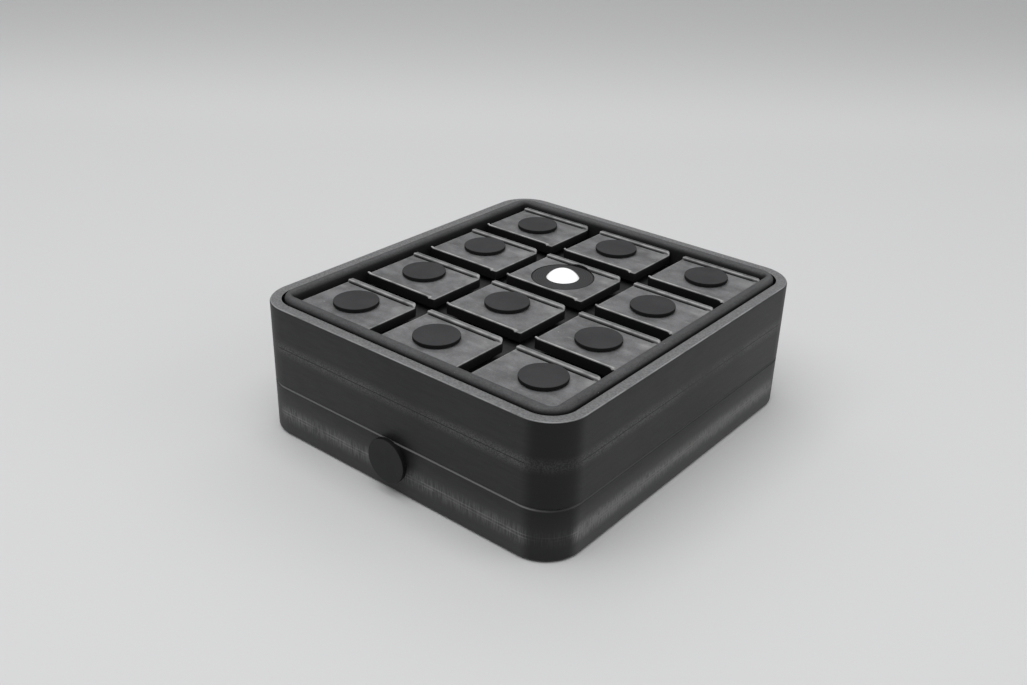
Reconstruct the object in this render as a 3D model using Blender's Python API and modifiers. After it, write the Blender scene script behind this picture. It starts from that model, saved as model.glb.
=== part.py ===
"""A twelve-key puzzle box: a sprung key field on a hinged lid, over a shallow tray.

The frame has +Z up and its origin in the middle of the tray's underside. X runs along the front,
where the turning knob is, and +Y runs to the back, where the hinge is. All sizes are in metres.
The box is modelled closed and unlocked: the knob's hook lies below the seam, and the lock plate's
bolts are drawn back from the tray's keeper posts.
"""

import math

import bmesh
import bpy
from mathutils import Matrix, Vector

# Overall sizes
BOX_WIDTH = 0.130
BOX_DEPTH = 0.144
CORNER_RADIUS = 0.0136
BASE_HEIGHT = 0.019
SEAM_GAP = 0.0004

# Walls, floors and clearances
WALL = 0.004
BASE_FLOOR = 0.003
FIT = 0.0003  # between pieces that rest on each other
SLIDE = 0.0004  # between pieces that slide or turn in each other
EMBED = 0.001  # how far a joined shape reaches into its neighbour
FOOT_FILLET = 0.0012
SEAM_CHAMFER = 0.0006
RIM_FILLET = 0.0007

# Bezel and key field
COLUMNS = 3
ROWS = 4
RIM_GAP = 0.0009
BEZEL_WIDTH = 0.0042
BEZEL_RISE = 0.0013  # bezel crest above the rim
BEZEL_SHOULDER = 0.0018  # radius of the bezel's rounded upper edges
BEZEL_CORNER = 0.0015
FIELD_MARGIN_X = 0.0013
FIELD_MARGIN_Y = 0.0006
CHANNEL_X = 0.00585  # gap between two columns of keys
CHANNEL_Y = 0.0073  # gap between two rows of keys
TILE_SINK = 0.0017  # key tops below the rim
TILE_THICKNESS = 0.0034
TILE_CORNER = 0.0018
NEAR_BEAD_WIDTH = 0.0015
NEAR_BEAD_HEIGHT = 0.0011
FAR_BEAD_WIDTH = 0.0026
FAR_BEAD_HEIGHT = 0.0016
BEAD_END = 0.0026  # how far the beads stop short of a key's right end
KEY_TRAVEL = 0.002

# Discs, ring and ball
DISC_RADIUS = 0.0078
DISC_HEIGHT = 0.0013
RING_RADIUS = 0.0112
RING_HEIGHT = 0.0015
BALL_RADIUS = 0.0070
BALL_PROUD = 0.0030  # ball top above the ring
BALL_PLAY = 0.00016  # round the ball in the ring's hole
BALL_COLUMN = 1
BALL_ROW = 2
CUP_WALL = 0.0013
RING_WEB = 0.0010  # tile left between the ring's seat and the ball key's spring pocket

# Key stems and springs
STEM_RADIUS = 0.0028
BARB_RADIUS = 0.0036
BARB_HEIGHT = 0.0020
NECK_RADIUS = 0.0019
HEAD_RADIUS = 0.0026
HEAD_HEIGHT = 0.0020
SPRING_RADIUS = 0.0044
SPRING_WIRE = 0.0006
SPRING_TURNS = 3
SPRING_SEAT = 0.0012  # depth of the seat in the deck
SPRING_POCKET = 0.0020  # depth of the pocket under a key

# Deck, cover and lock plate
DECK_THICKNESS = 0.003
COVER_THICKNESS = 0.002
COVER_RECESS = 0.003  # cover above the lid's lower edge
HEAD_CLEARANCE = 0.0012  # between a pressed stem's head and the cover
CUP_CLEARANCE = 0.0008  # between the pressed cup and the lock plate
LOCK_THICKNESS = 0.0015
LOCK_MARGIN = 0.0065  # plate past the outer stems
BOLT_WIDTH = 0.004
BOLT_SPACING = 0.060
BLADE_THICKNESS = 0.002
BLADE_WIDTH = 0.004
GUIDE_WALL = 0.002
GUIDE_LAP = 0.003  # plate edge held in each guide
POST_WIDTH = 0.008
POST_DEPTH = 0.003
POST_STANDOFF = 0.003  # gap between a post and the front wall
POST_RISE = 0.0025  # post top above the lock plate

# How far each disc sits off the middle of its key, by row and column from the front left
DISC_SHIFTS = {
    (0, 0): (-0.0002, 0.0),
    (0, 1): (-0.0007, -0.0008),
    (0, 2): (0.0029, 0.0010),
    (1, 0): (-0.0008, 0.0008),
    (1, 1): (-0.0004, 0.0010),
    (1, 2): (0.0006, -0.0005),
    (2, 0): (-0.0006, 0.0011),
    (2, 2): (-0.0003, -0.0007),
    (3, 0): (0.0003, -0.0007),
    (3, 1): (-0.0007, 0.0004),
    (3, 2): (0.0004, 0.0005),
}

# How far the ball key's axis is off its place in the grid, and a plate off its stem
BALL_KEY_SHIFT_X = -0.0008
BALL_KEY_SHIFT_Y = -0.0001
PLATE_SHIFT_X = 0.0005
PLATE_SHIFT_Y = 0.0003

# Corner posts and screws
CORNER_POST = 0.013
SCREW_HEAD_RADIUS = 0.0026
SCREW_HEAD_HEIGHT = 0.0013
SCREW_SHANK_RADIUS = 0.0013
SCREW_LENGTH = 0.0085

# Hinge
HINGE_LENGTH = 0.084
HINGE_CENTRE_LENGTH = 0.034
HINGE_RADIUS = 0.0030
HINGE_PIN_RADIUS = 0.0012

# Turning knob and its hook
KNOB_RADIUS = 0.0078
KNOB_THICKNESS = 0.0018
KNOB_STANDOFF = 0.0014
KNOB_BELOW_SEAM = 0.006  # knob axis under the seam
SHAFT_RADIUS = 0.0024
NECK_FLANGE_RADIUS = 0.0036
HOOK_THICKNESS = 0.002
HOOK_HUB_RADIUS = 0.0048
HOOK_JAW_INNER = 0.0112
HOOK_JAW_OUTER = 0.0138
HOOK_JAW_START = 165.0  # degrees, from +X towards +Z, unlocked
HOOK_JAW_END = 215.0
HOOK_ARM_ANGLE = 11.0
KEEPER_RADIUS = 0.00125
KEEPER_REACH = 0.009  # keeper pin from the knob axis
KEEPER_LENGTH = 0.003
CAM_SCREW_HEAD = 0.0034
CAM_SCREW_HEIGHT = 0.0012
CAM_SCREW_RADIUS = 0.0011
CAM_SCREW_LENGTH = 0.004

# Heights, stacked up from the lid's lower edge
LID_BOTTOM = BASE_HEIGHT + SEAM_GAP
COVER_BOTTOM = LID_BOTTOM + COVER_RECESS
COVER_TOP = COVER_BOTTOM + COVER_THICKNESS
HEAD_BOTTOM = COVER_TOP + KEY_TRAVEL + HEAD_CLEARANCE
LOCK_BOTTOM = HEAD_BOTTOM + HEAD_HEIGHT + SLIDE
LOCK_TOP = LOCK_BOTTOM + LOCK_THICKNESS
CUP_BOTTOM = LOCK_TOP + KEY_TRAVEL + CUP_CLEARANCE
BALL_CENTRE_Z = CUP_BOTTOM + CUP_WALL + BALL_RADIUS + SLIDE
TILE_TOP = BALL_CENTRE_Z + BALL_RADIUS - BALL_PROUD
RIM_TOP = TILE_TOP + TILE_SINK
TILE_BOTTOM = TILE_TOP - TILE_THICKNESS
DECK_TOP = TILE_BOTTOM - KEY_TRAVEL - FIT
DECK_BOTTOM = DECK_TOP - DECK_THICKNESS
HINGE_Z = BASE_HEIGHT + SEAM_GAP / 2
KNOB_Z = BASE_HEIGHT - KNOB_BELOW_SEAM
POST_TOP = LOCK_TOP + POST_RISE

# Widths and places worked out from the sizes above
INNER_WIDTH = BOX_WIDTH - 2 * WALL
INNER_DEPTH = BOX_DEPTH - 2 * WALL
INNER_CORNER = CORNER_RADIUS - WALL
BEZEL_OUTER_WIDTH = INNER_WIDTH - 2 * RIM_GAP
BEZEL_OUTER_DEPTH = INNER_DEPTH - 2 * RIM_GAP
FIELD_WIDTH = BEZEL_OUTER_WIDTH - 2 * (BEZEL_WIDTH + FIELD_MARGIN_X)
FIELD_DEPTH = BEZEL_OUTER_DEPTH - 2 * (BEZEL_WIDTH + FIELD_MARGIN_Y)
TILE_WIDTH = (FIELD_WIDTH - (COLUMNS - 1) * CHANNEL_X) / COLUMNS
TILE_DEPTH = (FIELD_DEPTH - (ROWS - 1) * CHANNEL_Y) / ROWS
PITCH_X = TILE_WIDTH + CHANNEL_X
PITCH_Y = TILE_DEPTH + CHANNEL_Y
LOCK_PLATE_WIDTH = (COLUMNS - 1) * PITCH_X + 2 * LOCK_MARGIN
FRONT = -BOX_DEPTH / 2
BACK = BOX_DEPTH / 2
HINGE_Y = BACK + HINGE_RADIUS + SLIDE
RING_FLOOR_RISE = max(0.0, BALL_RADIUS - BALL_PROUD - RING_HEIGHT)  # above the ball's centre
BALL_HOLE = math.sqrt(BALL_RADIUS**2 - RING_FLOOR_RISE**2) + BALL_PLAY
CUP_INNER = BALL_RADIUS + SLIDE
CUP_OUTER = CUP_INNER + CUP_WALL
POST_FRONT = FRONT + WALL + POST_STANDOFF - SLIDE
POST_BACK = POST_FRONT + POST_DEPTH
SCREW_X = INNER_WIDTH / 2 - CORNER_POST / 2 - EMBED * 2
SCREW_Y = INNER_DEPTH / 2 - CORNER_POST / 2 - EMBED * 2

ROUND = 24  # sides of the ball and its cup
DISC_ROUND = 32  # sides of a disc or the ring
SMALL_ROUND = 16  # sides of a hole or a stem
PIN_ROUND = 12  # sides of a screw, a pin or a bead
CORNER_STEPS = 6
SHARP_ANGLE = math.radians(30)

PARTS = bpy.data.collections.new("puzzle_box")
CUTTERS = bpy.data.collections.new("cutters")


def start_scene():
    """Remove what a new file holds and link the two collections."""
    for thing in list(bpy.data.objects):
        bpy.data.objects.remove(thing, do_unlink=True)
    bpy.context.scene.collection.children.link(PARTS)
    bpy.context.scene.collection.children.link(CUTTERS)


def material(name, colour, roughness, metallic=0.0):
    """A Principled material with one plain colour."""
    made = bpy.data.materials.new(name)
    made.use_nodes = True
    shader = made.node_tree.nodes["Principled BSDF"]
    shader.inputs["Base Color"].default_value = (*colour, 1.0)
    shader.inputs["Roughness"].default_value = roughness
    shader.inputs["Metallic"].default_value = metallic
    return made


def add_object(name, mesh, collection):
    """An object for a mesh; a cutter shows as wire and never renders."""
    made = bpy.data.objects.new(name, mesh)
    collection.objects.link(made)
    if collection is CUTTERS:
        made.hide_render = True
        made.display_type = "WIRE"
    return made


def mesh_from(bm, name):
    """Turn a bmesh into a mesh with its faces pointing out."""
    bmesh.ops.recalc_face_normals(bm, faces=bm.faces)
    mesh = bpy.data.meshes.new(name)
    bm.to_mesh(mesh)
    bm.free()
    return mesh


def block(name, low, high, collection=CUTTERS, corner=0.0, foot=0.0, crown=0.0, steps=CORNER_STEPS):
    """A box between two corners, with rounded upright edges, lower edge and upper edge."""
    low, high = Vector(low), Vector(high)
    bm = bmesh.new()
    size = high - low
    place = Matrix.Translation((low + high) / 2) @ Matrix.Diagonal((*size, 1.0))
    bmesh.ops.create_cube(bm, size=1.0, matrix=place)
    if corner:
        upright = [e for e in bm.edges if abs(e.verts[0].co.z - e.verts[1].co.z) > size.z / 2]
        bmesh.ops.bevel(bm, geom=upright, offset=corner, segments=steps, profile=0.5, affect="EDGES")
    for level, width, cuts in ((low.z, foot, 2), (high.z, crown, 1)):
        if width:
            ring = [e for e in bm.edges if all(abs(v.co.z - level) < width / 10 for v in e.verts)]
            bmesh.ops.bevel(bm, geom=ring, offset=width, segments=cuts, profile=0.5, affect="EDGES")
    return add_object(name, mesh_from(bm, name), collection)


def rounded(name, width, depth, z_low, z_high, corner, collection=CUTTERS, **edges):
    """A centred rounded block of a given width and depth."""
    low = (-width / 2, -depth / 2, z_low)
    high = (width / 2, depth / 2, z_high)
    return block(name, low, high, collection, corner, **edges)


def rod(name, start, end, radius, collection=CUTTERS, sides=SMALL_ROUND):
    """A cylinder between two points."""
    start, end = Vector(start), Vector(end)
    run = end - start
    turn = Vector((0, 0, 1)).rotation_difference(run).to_matrix().to_4x4()
    bm = bmesh.new()
    bmesh.ops.create_cone(
        bm,
        cap_ends=True,
        segments=sides,
        radius1=radius,
        radius2=radius,
        depth=run.length,
        matrix=Matrix.Translation((start + end) / 2) @ turn,
    )
    return add_object(name, mesh_from(bm, name), collection)


def lathe(name, profile, collection=CUTTERS, sides=SMALL_ROUND):
    """A turned shape about Z; the profile runs down its outer side, top to bottom."""
    mesh = bpy.data.meshes.new(name)
    points = [(radius, 0.0, height) for radius, height in profile]
    edges = [(i, i + 1) for i in range(len(points) - 1)]
    if profile[0][0] > 0:
        edges.append((len(points) - 1, 0))
    mesh.from_pydata(points, edges, [])
    made = add_object(name, mesh, collection)
    screw = made.modifiers.new("turn", "SCREW")
    screw.angle = math.tau
    screw.steps = sides
    screw.render_steps = sides
    screw.use_merge_vertices = True
    screw.merge_threshold = 0.00002
    return made


def bake(made):
    """Replace an object's mesh by its evaluated one, and drop its modifiers."""
    bpy.context.view_layer.update()
    seen = made.evaluated_get(bpy.context.evaluated_depsgraph_get())
    mesh = bpy.data.meshes.new_from_object(seen)
    made.modifiers.clear()
    made.data = mesh
    return made


def combine(target, tools, operation):
    """Boolean modifiers that cut the tools from the target or join them to it."""
    for tool in tools:
        step = target.modifiers.new(tool.name, "BOOLEAN")
        step.operation = operation
        step.solver = "EXACT"
        step.object = tool
    return target


def cut(target, *tools):
    """Cut the tools from the target."""
    return combine(target, tools, "DIFFERENCE")


def join(target, *tools):
    """Join the tools to the target."""
    return combine(target, tools, "UNION")


def dress(made, finish):
    """Give an object its material and shade its round faces smooth."""
    bake(made)
    made.data.materials.clear()
    made.data.materials.append(finish)
    made.data.shade_smooth()
    made.data.set_sharp_from_angle(angle=SHARP_ANGLE)
    return made


def copy_to(name, source, x, y):
    """A copy of a finished piece at a key's place, sharing its mesh."""
    made = add_object(name, source.data, PARTS)
    made.location = (x, y, 0.0)
    return made


def hang_on(name, axis_point, pieces):
    """An empty on a joint's axis that carries the pieces which move with it."""
    pivot = bpy.data.objects.new(name, None)
    PARTS.objects.link(pivot)
    pivot.location = axis_point
    bpy.context.view_layer.update()
    for piece in pieces:
        piece.parent = pivot
        piece.matrix_parent_inverse = pivot.matrix_world.inverted()
    return pivot


def key_places():
    """Each key's row and column from the front left, with its axis."""
    for row in range(ROWS):
        for column in range(COLUMNS):
            x = (column - (COLUMNS - 1) / 2) * PITCH_X
            y = (row - (ROWS - 1) / 2) * PITCH_Y
            if is_ball_key(row, column):
                x += BALL_KEY_SHIFT_X
                y += BALL_KEY_SHIFT_Y
            yield row, column, x, y


def is_ball_key(row, column):
    """Whether the key at this row and column carries the ball."""
    return row == BALL_ROW and column == BALL_COLUMN


def hinge_knuckle(name, x_low, x_high, on_lid):
    """A hinge knuckle with the web that joins it to its shell's back wall."""
    side = 1 if on_lid else -1
    near, far = HINGE_Z + side * SEAM_GAP, HINGE_Z + side * HINGE_RADIUS * 0.9
    web = block(
        name + "_web",
        (x_low, BACK - EMBED, min(near, far)),
        (x_high, HINGE_Y, max(near, far)),
    )
    barrel = rod(name, (x_low, HINGE_Y, HINGE_Z), (x_high, HINGE_Y, HINGE_Z), HINGE_RADIUS)
    return web, barrel


def pin_bore():
    """The bore through every hinge knuckle."""
    reach = HINGE_LENGTH / 2 + EMBED
    radius = HINGE_PIN_RADIUS + SLIDE / 2
    return rod("pin_bore", (-reach, HINGE_Y, HINGE_Z), (reach, HINGE_Y, HINGE_Z), radius)


def base_shell(finish):
    """The tray: a rounded shell with its hinge knuckles, keeper posts and knob hole."""
    shell = rounded(
        "base_shell", BOX_WIDTH, BOX_DEPTH, 0.0, BASE_HEIGHT, CORNER_RADIUS,
        PARTS, foot=FOOT_FILLET, crown=SEAM_CHAMFER,
    )
    hollow = rounded(
        "base_hollow", INNER_WIDTH, INNER_DEPTH, BASE_FLOOR, BASE_HEIGHT + EMBED, INNER_CORNER
    )
    cut(shell, hollow)
    for side in (-1, 1):
        x_in = side * (HINGE_CENTRE_LENGTH / 2 + SLIDE)
        x_out = side * HINGE_LENGTH / 2
        join(shell, *hinge_knuckle(f"base_knuckle_{side}", min(x_in, x_out), max(x_in, x_out), False))
        x = side * BOLT_SPACING / 2
        post = block(
            f"keeper_post_{side}",
            (x - POST_WIDTH / 2, POST_FRONT, BASE_FLOOR - EMBED),
            (x + POST_WIDTH / 2, POST_BACK, POST_TOP),
        )
        window = block(
            f"keeper_window_{side}",
            (x - BOLT_WIDTH / 2 - SLIDE, POST_FRONT - EMBED, LOCK_BOTTOM - SLIDE),
            (x + BOLT_WIDTH / 2 + SLIDE, POST_BACK + EMBED, LOCK_TOP + SLIDE),
        )
        join(shell, post)
        cut(shell, window)
    knob_hole = rod(
        "knob_hole",
        (0, FRONT - EMBED, KNOB_Z),
        (0, FRONT + WALL + EMBED, KNOB_Z),
        SHAFT_RADIUS + SLIDE,
    )
    cut(shell, pin_bore(), knob_hole)
    return dress(shell, finish)


def upper_shell(finish):
    """The lid's wall: a rounded tube with corner posts, plate guides, keeper pin and knuckle."""
    shell = rounded(
        "upper_shell", BOX_WIDTH, BOX_DEPTH, LID_BOTTOM, RIM_TOP, CORNER_RADIUS,
        PARTS, crown=RIM_FILLET,
    )
    hollow = rounded(
        "lid_hollow", INNER_WIDTH, INNER_DEPTH, LID_BOTTOM - EMBED, RIM_TOP + EMBED, INNER_CORNER
    )
    cut(shell, hollow)
    for x_side in (-1, 1):
        for y_side in (-1, 1):
            x, y = x_side * SCREW_X, y_side * SCREW_Y
            half = CORNER_POST / 2
            post = block(
                f"corner_post_{x_side}_{y_side}",
                (x - half, y - half, COVER_TOP + FIT),
                (x + half, y + half, DECK_BOTTOM - FIT),
                corner=half / 3,
                steps=2,
            )
            pilot = rod(
                f"pilot_{x_side}_{y_side}",
                (x, y, COVER_TOP - EMBED),
                (x, y, DECK_BOTTOM + EMBED),
                SCREW_SHANK_RADIUS + FIT,
                sides=PIN_ROUND,
            )
            join(shell, post)
            cut(shell, pilot)
        inner = LOCK_PLATE_WIDTH / 2 - GUIDE_LAP
        outer = INNER_WIDTH / 2 + EMBED
        x_pair = sorted((x_side * inner, x_side * outer))
        reach = PITCH_Y
        guide = block(
            f"plate_guide_{x_side}",
            (x_pair[0], -reach, LOCK_BOTTOM - SLIDE - GUIDE_WALL),
            (x_pair[1], reach, LOCK_TOP + SLIDE + GUIDE_WALL),
        )
        groove_x = sorted((x_side * (inner - EMBED), x_side * (LOCK_PLATE_WIDTH / 2 + SLIDE)))
        groove = block(
            f"guide_groove_{x_side}",
            (groove_x[0], -reach - EMBED, LOCK_BOTTOM - SLIDE),
            (groove_x[1], reach + EMBED, LOCK_TOP + SLIDE),
        )
        join(shell, guide)
        cut(shell, groove)
    keeper_z = KNOB_Z + KEEPER_REACH
    keeper_y = FRONT + WALL
    keeper = rod(
        "keeper_pin",
        (0, keeper_y - EMBED, keeper_z),
        (0, keeper_y + KEEPER_LENGTH, keeper_z),
        KEEPER_RADIUS,
        sides=PIN_ROUND,
    )
    half_centre = HINGE_CENTRE_LENGTH / 2
    join(shell, keeper, *hinge_knuckle("lid_knuckle", -half_centre, half_centre, True))
    cut(shell, pin_bore())
    return dress(shell, finish)


def lock_plate(finish):
    """The plate under the keys, with a slot round each stem and two bolts at its front edge."""
    half_width = LOCK_PLATE_WIDTH / 2
    half_depth = (ROWS - 1) / 2 * PITCH_Y + LOCK_MARGIN
    plate = block(
        "lock_plate", (-half_width, -half_depth, LOCK_BOTTOM), (half_width, half_depth, LOCK_TOP), PARTS
    )
    for side in (-1, 1):
        x = side * BOLT_SPACING / 2
        bolt = block(
            f"bolt_{side}",
            (x - BOLT_WIDTH / 2, POST_BACK + SLIDE, LOCK_BOTTOM),
            (x + BOLT_WIDTH / 2, EMBED - half_depth, LOCK_TOP),
        )
        join(plate, bolt)
    bottom, top = LOCK_BOTTOM - EMBED, LOCK_TOP + EMBED
    for row, column, x, y in key_places():
        tag = f"{row}_{column}"
        if is_ball_key(row, column):
            half_x = BLADE_WIDTH / 2 + SLIDE
            half_y = (BLADE_THICKNESS + LOCK_THICKNESS) / 2 + SLIDE
            low, high = (x - half_x, y - half_y, bottom), (x + half_x, y + half_y, top)
            slot = block(f"blade_slot_{tag}", low, high)
            cut(plate, slot)
            continue
        half = NECK_RADIUS + SLIDE
        slot = block(
            f"neck_slot_{tag}", (x - half, y, bottom), (x + half, y + KEY_TRAVEL + half, top)
        )
        entry = rod(f"stem_hole_{tag}", (x, y, bottom), (x, y, top), HEAD_RADIUS + SLIDE, sides=PIN_ROUND)
        cut(plate, slot, entry)
    return dress(plate, finish)


def deck_plate(finish):
    """The plate that the keys stand over, with a bore and a spring seat for each."""
    deck = rounded(
        "deck_plate",
        INNER_WIDTH - 2 * SLIDE,
        INNER_DEPTH - 2 * SLIDE,
        DECK_BOTTOM,
        DECK_TOP,
        INNER_CORNER - SLIDE,
        PARTS,
    )
    for row, column, x, y in key_places():
        tag = f"{row}_{column}"
        ball_key = is_ball_key(row, column)
        bore = CUP_OUTER + SLIDE if ball_key else STEM_RADIUS + SLIDE
        seat = spring_reach(ball_key)
        sides = ROUND if ball_key else SMALL_ROUND
        above = (x, y, DECK_TOP + EMBED)
        stem_bore = rod(f"stem_bore_{tag}", (x, y, DECK_BOTTOM - EMBED), above, bore, sides=sides)
        spring_seat = rod(f"spring_seat_{tag}", (x, y, DECK_TOP - SPRING_SEAT), above, seat, sides=sides)
        cut(deck, stem_bore, spring_seat)
    for number, (x, y) in enumerate(screw_places(), 1):
        head = screw_profile(DECK_TOP + EMBED, SLIDE, SCREW_HEAD_HEIGHT + EMBED)
        sink = lathe(f"deck_sink_{number}", head, sides=PIN_ROUND)
        sink.location = (x, y, 0.0)
        cut(deck, sink)
    return dress(deck, finish)


def spring_reach(ball_key):
    """Radius of the seat or pocket that a key's spring stands in."""
    return spring_mean_radius(ball_key) + SPRING_WIRE / 2 + SLIDE


def pocket_top(ball_key):
    """Height of the top of a key's spring pocket; the ring's seat leaves less room above it."""
    if ball_key:
        return TILE_TOP - RING_HEIGHT - FIT - RING_WEB
    return TILE_BOTTOM + SPRING_POCKET


def spring_mean_radius(ball_key):
    """Mean radius of a key's spring; the ball key's spring goes round its cup."""
    return CUP_OUTER + SLIDE + SPRING_WIRE if ball_key else SPRING_RADIUS


def screw_places():
    """The four corner posts' axes."""
    return [(x * SCREW_X, y * SCREW_Y) for x in (-1, 1) for y in (-1, 1)]


def screw_profile(top, clearance, head_height):
    """A countersunk screw's profile, head up, from its axis down and back to the axis."""
    head = SCREW_HEAD_RADIUS + clearance
    shank = SCREW_SHANK_RADIUS + clearance
    return [
        (0.0, top),
        (head, top),
        (head, top - head_height + (head - shank)),
        (shank, top - head_height),
        (shank, top - SCREW_LENGTH - 2 * clearance),
        (0.0, top - SCREW_LENGTH - 2 * clearance),
    ]


def screws(finish):
    """Four screws through the deck from above, and four through the cover from below."""
    made = []
    for number, (x, y) in enumerate(screw_places(), 1):
        profile = screw_profile(DECK_TOP, 0.0, SCREW_HEAD_HEIGHT)
        top = lathe(f"deck_screw_{number}", profile, PARTS, PIN_ROUND)
        made.append(dress(top, finish))
        top.location = (x, y, 0.0)
        profile = screw_profile(0.0, 0.0, SCREW_HEAD_HEIGHT)
        low = lathe(f"cover_screw_{number}", profile, PARTS, PIN_ROUND)
        made.append(dress(low, finish))
        low.rotation_euler = (math.pi, 0.0, 0.0)
        low.location = (x, y, COVER_BOTTOM)
    return made


def bezel_frame(finish):
    """The frame round the keys: a loft from its round outer corners to its tighter inner ones."""
    outer_corner = INNER_CORNER - RIM_GAP
    bm = bmesh.new()
    loops = []
    for inset, height in bezel_section():
        corner = outer_corner + (BEZEL_CORNER - outer_corner) * inset / BEZEL_WIDTH
        outline = rounded_outline(BEZEL_OUTER_WIDTH - 2 * inset, BEZEL_OUTER_DEPTH - 2 * inset, corner)
        loops.append([bm.verts.new((x, y, height)) for x, y in outline])
    for loop, following in zip(loops, loops[1:] + loops[:1]):
        for i in range(len(loop)):
            bm.faces.new((loop[i - 1], loop[i], following[i], following[i - 1]))
    frame = add_object("bezel_frame", mesh_from(bm, "bezel_frame"), PARTS)
    return dress(frame, finish)


def bezel_section():
    """The bezel's section as (distance in from the outer side, height), up, over and down."""
    foot = DECK_TOP + FIT
    crest = RIM_TOP + BEZEL_RISE
    steps = 3
    rise = []
    for step in range(steps + 1):
        angle = math.pi / 2 * step / steps
        inset = BEZEL_SHOULDER * (1 - math.cos(angle))
        rise.append((inset, crest - BEZEL_SHOULDER * (1 - math.sin(angle))))
    fall = [(BEZEL_WIDTH - inset, height) for inset, height in reversed(rise)]
    return [(0.0, foot)] + rise + fall + [(BEZEL_WIDTH, foot)]


def rounded_outline(width, depth, corner, steps=CORNER_STEPS):
    """Points round an oblong with arcs for its corners."""
    points = []
    for x_side, y_side, start in ((1, -1, -90), (1, 1, 0), (-1, 1, 90), (-1, -1, 180)):
        centre_x = x_side * (width / 2 - corner)
        centre_y = y_side * (depth / 2 - corner)
        for step in range(steps + 1):
            angle = math.radians(start + 90 * step / steps)
            points.append((centre_x + corner * math.cos(angle), centre_y + corner * math.sin(angle)))
    return points


def curve_object(name, points, collection, dimensions, cyclic=True):
    """A poly curve through a list of points."""
    curve = bpy.data.curves.new(name, "CURVE")
    curve.dimensions = dimensions
    curve.fill_mode = "NONE" if dimensions == "2D" else "FULL"
    spline = curve.splines.new("POLY")
    spline.points.add(len(points) - 1)
    for slot, point in zip(spline.points, points):
        slot.co = (*point, 0.0, 1.0) if len(point) == 2 else (*point, 1.0)
    spline.use_cyclic_u = cyclic
    return add_object(name, curve, collection)


def meshed(made, finish, name):
    """Turn a curve object into a mesh object with its ends welded."""
    bpy.context.view_layer.update()
    seen = made.evaluated_get(bpy.context.evaluated_depsgraph_get())
    mesh = bpy.data.meshes.new_from_object(seen)
    bm = bmesh.new()
    bm.from_mesh(mesh)
    bmesh.ops.remove_doubles(bm, verts=bm.verts, dist=0.00001)
    bmesh.ops.recalc_face_normals(bm, faces=bm.faces)
    bm.to_mesh(mesh)
    bm.free()
    made.name = name + "_curve"
    solid = add_object(name, mesh, PARTS)
    solid.matrix_world = made.matrix_world
    bpy.data.objects.remove(made, do_unlink=True)
    return dress(solid, finish)


def bottom_cover(finish):
    """The plate that closes the lid from below, notched for the hook and the keeper posts."""
    cover = rounded(
        "bottom_cover",
        INNER_WIDTH - 2 * SLIDE,
        INNER_DEPTH - 2 * SLIDE,
        COVER_BOTTOM,
        COVER_TOP,
        INNER_CORNER - SLIDE,
        PARTS,
    )
    bottom, top = COVER_BOTTOM - EMBED, COVER_TOP + EMBED
    notch = block(
        "hook_notch",
        (-HOOK_JAW_OUTER - EMBED, FRONT, bottom),
        (HOOK_HUB_RADIUS + EMBED, POST_BACK, top),
    )
    cut(cover, notch)
    for side in (-1, 1):
        x = side * BOLT_SPACING / 2
        half = POST_WIDTH / 2 + EMBED
        high = (x + half, POST_BACK + EMBED, top)
        opening = block(f"post_opening_{side}", (x - half, FRONT, bottom), high)
        cut(cover, opening)
    for number, (x, y) in enumerate(screw_places(), 1):
        head = screw_profile(EMBED, SLIDE, SCREW_HEAD_HEIGHT + EMBED)
        sink = lathe(f"cover_sink_{number}", head, sides=PIN_ROUND)
        sink.rotation_euler = (math.pi, 0.0, 0.0)
        sink.location = (x, y, COVER_BOTTOM)
        cut(cover, sink)
    return dress(cover, finish)


def tile_body(name, collection, ball_key=False):
    """A key's plate with its near and far beads, in its place round a stem at the origin."""
    plate = rounded(
        name, TILE_WIDTH, TILE_DEPTH, TILE_BOTTOM, TILE_TOP, TILE_CORNER, collection, steps=2
    )
    left = -TILE_WIDTH / 2
    right = TILE_WIDTH / 2 - BEAD_END
    beads = (
        ("near_bead", -TILE_DEPTH / 2 + NEAR_BEAD_WIDTH / 2, NEAR_BEAD_WIDTH, NEAR_BEAD_HEIGHT),
        ("far_bead", TILE_DEPTH / 2 - FAR_BEAD_WIDTH / 2, FAR_BEAD_WIDTH, FAR_BEAD_HEIGHT),
    )
    for tag, y, width, height in beads:
        bead = rod(f"{name}_{tag}", (left + FIT, 0, 0), (right, 0, 0), 1.0, sides=PIN_ROUND)
        for vertex in bead.data.vertices:
            vertex.co.y = y + vertex.co.y * (width / 2 - FIT / 10)
            vertex.co.z = TILE_TOP + vertex.co.z * height
        join(plate, bead)
    shift_x = PLATE_SHIFT_X - (BALL_KEY_SHIFT_X if ball_key else 0)
    shift_y = PLATE_SHIFT_Y - (BALL_KEY_SHIFT_Y if ball_key else 0)
    plate.data.transform(Matrix.Translation((shift_x, shift_y, 0)))
    return plate


def stem_profile():
    """A key stem's profile: shaft, snap barb, neck at the lock plate and head."""
    barb_top = DECK_BOTTOM - FIT
    head_top = LOCK_BOTTOM - SLIDE
    return [
        (0.0, pocket_top(False) + EMBED / 2),
        (STEM_RADIUS, pocket_top(False) + EMBED / 2),
        (STEM_RADIUS, barb_top),
        (BARB_RADIUS, barb_top),
        (NECK_RADIUS, barb_top - BARB_HEIGHT),
        (NECK_RADIUS, head_top),
        (HEAD_RADIUS, head_top),
        (HEAD_RADIUS, head_top - HEAD_HEIGHT),
        (0.0, head_top - HEAD_HEIGHT),
    ]


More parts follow.
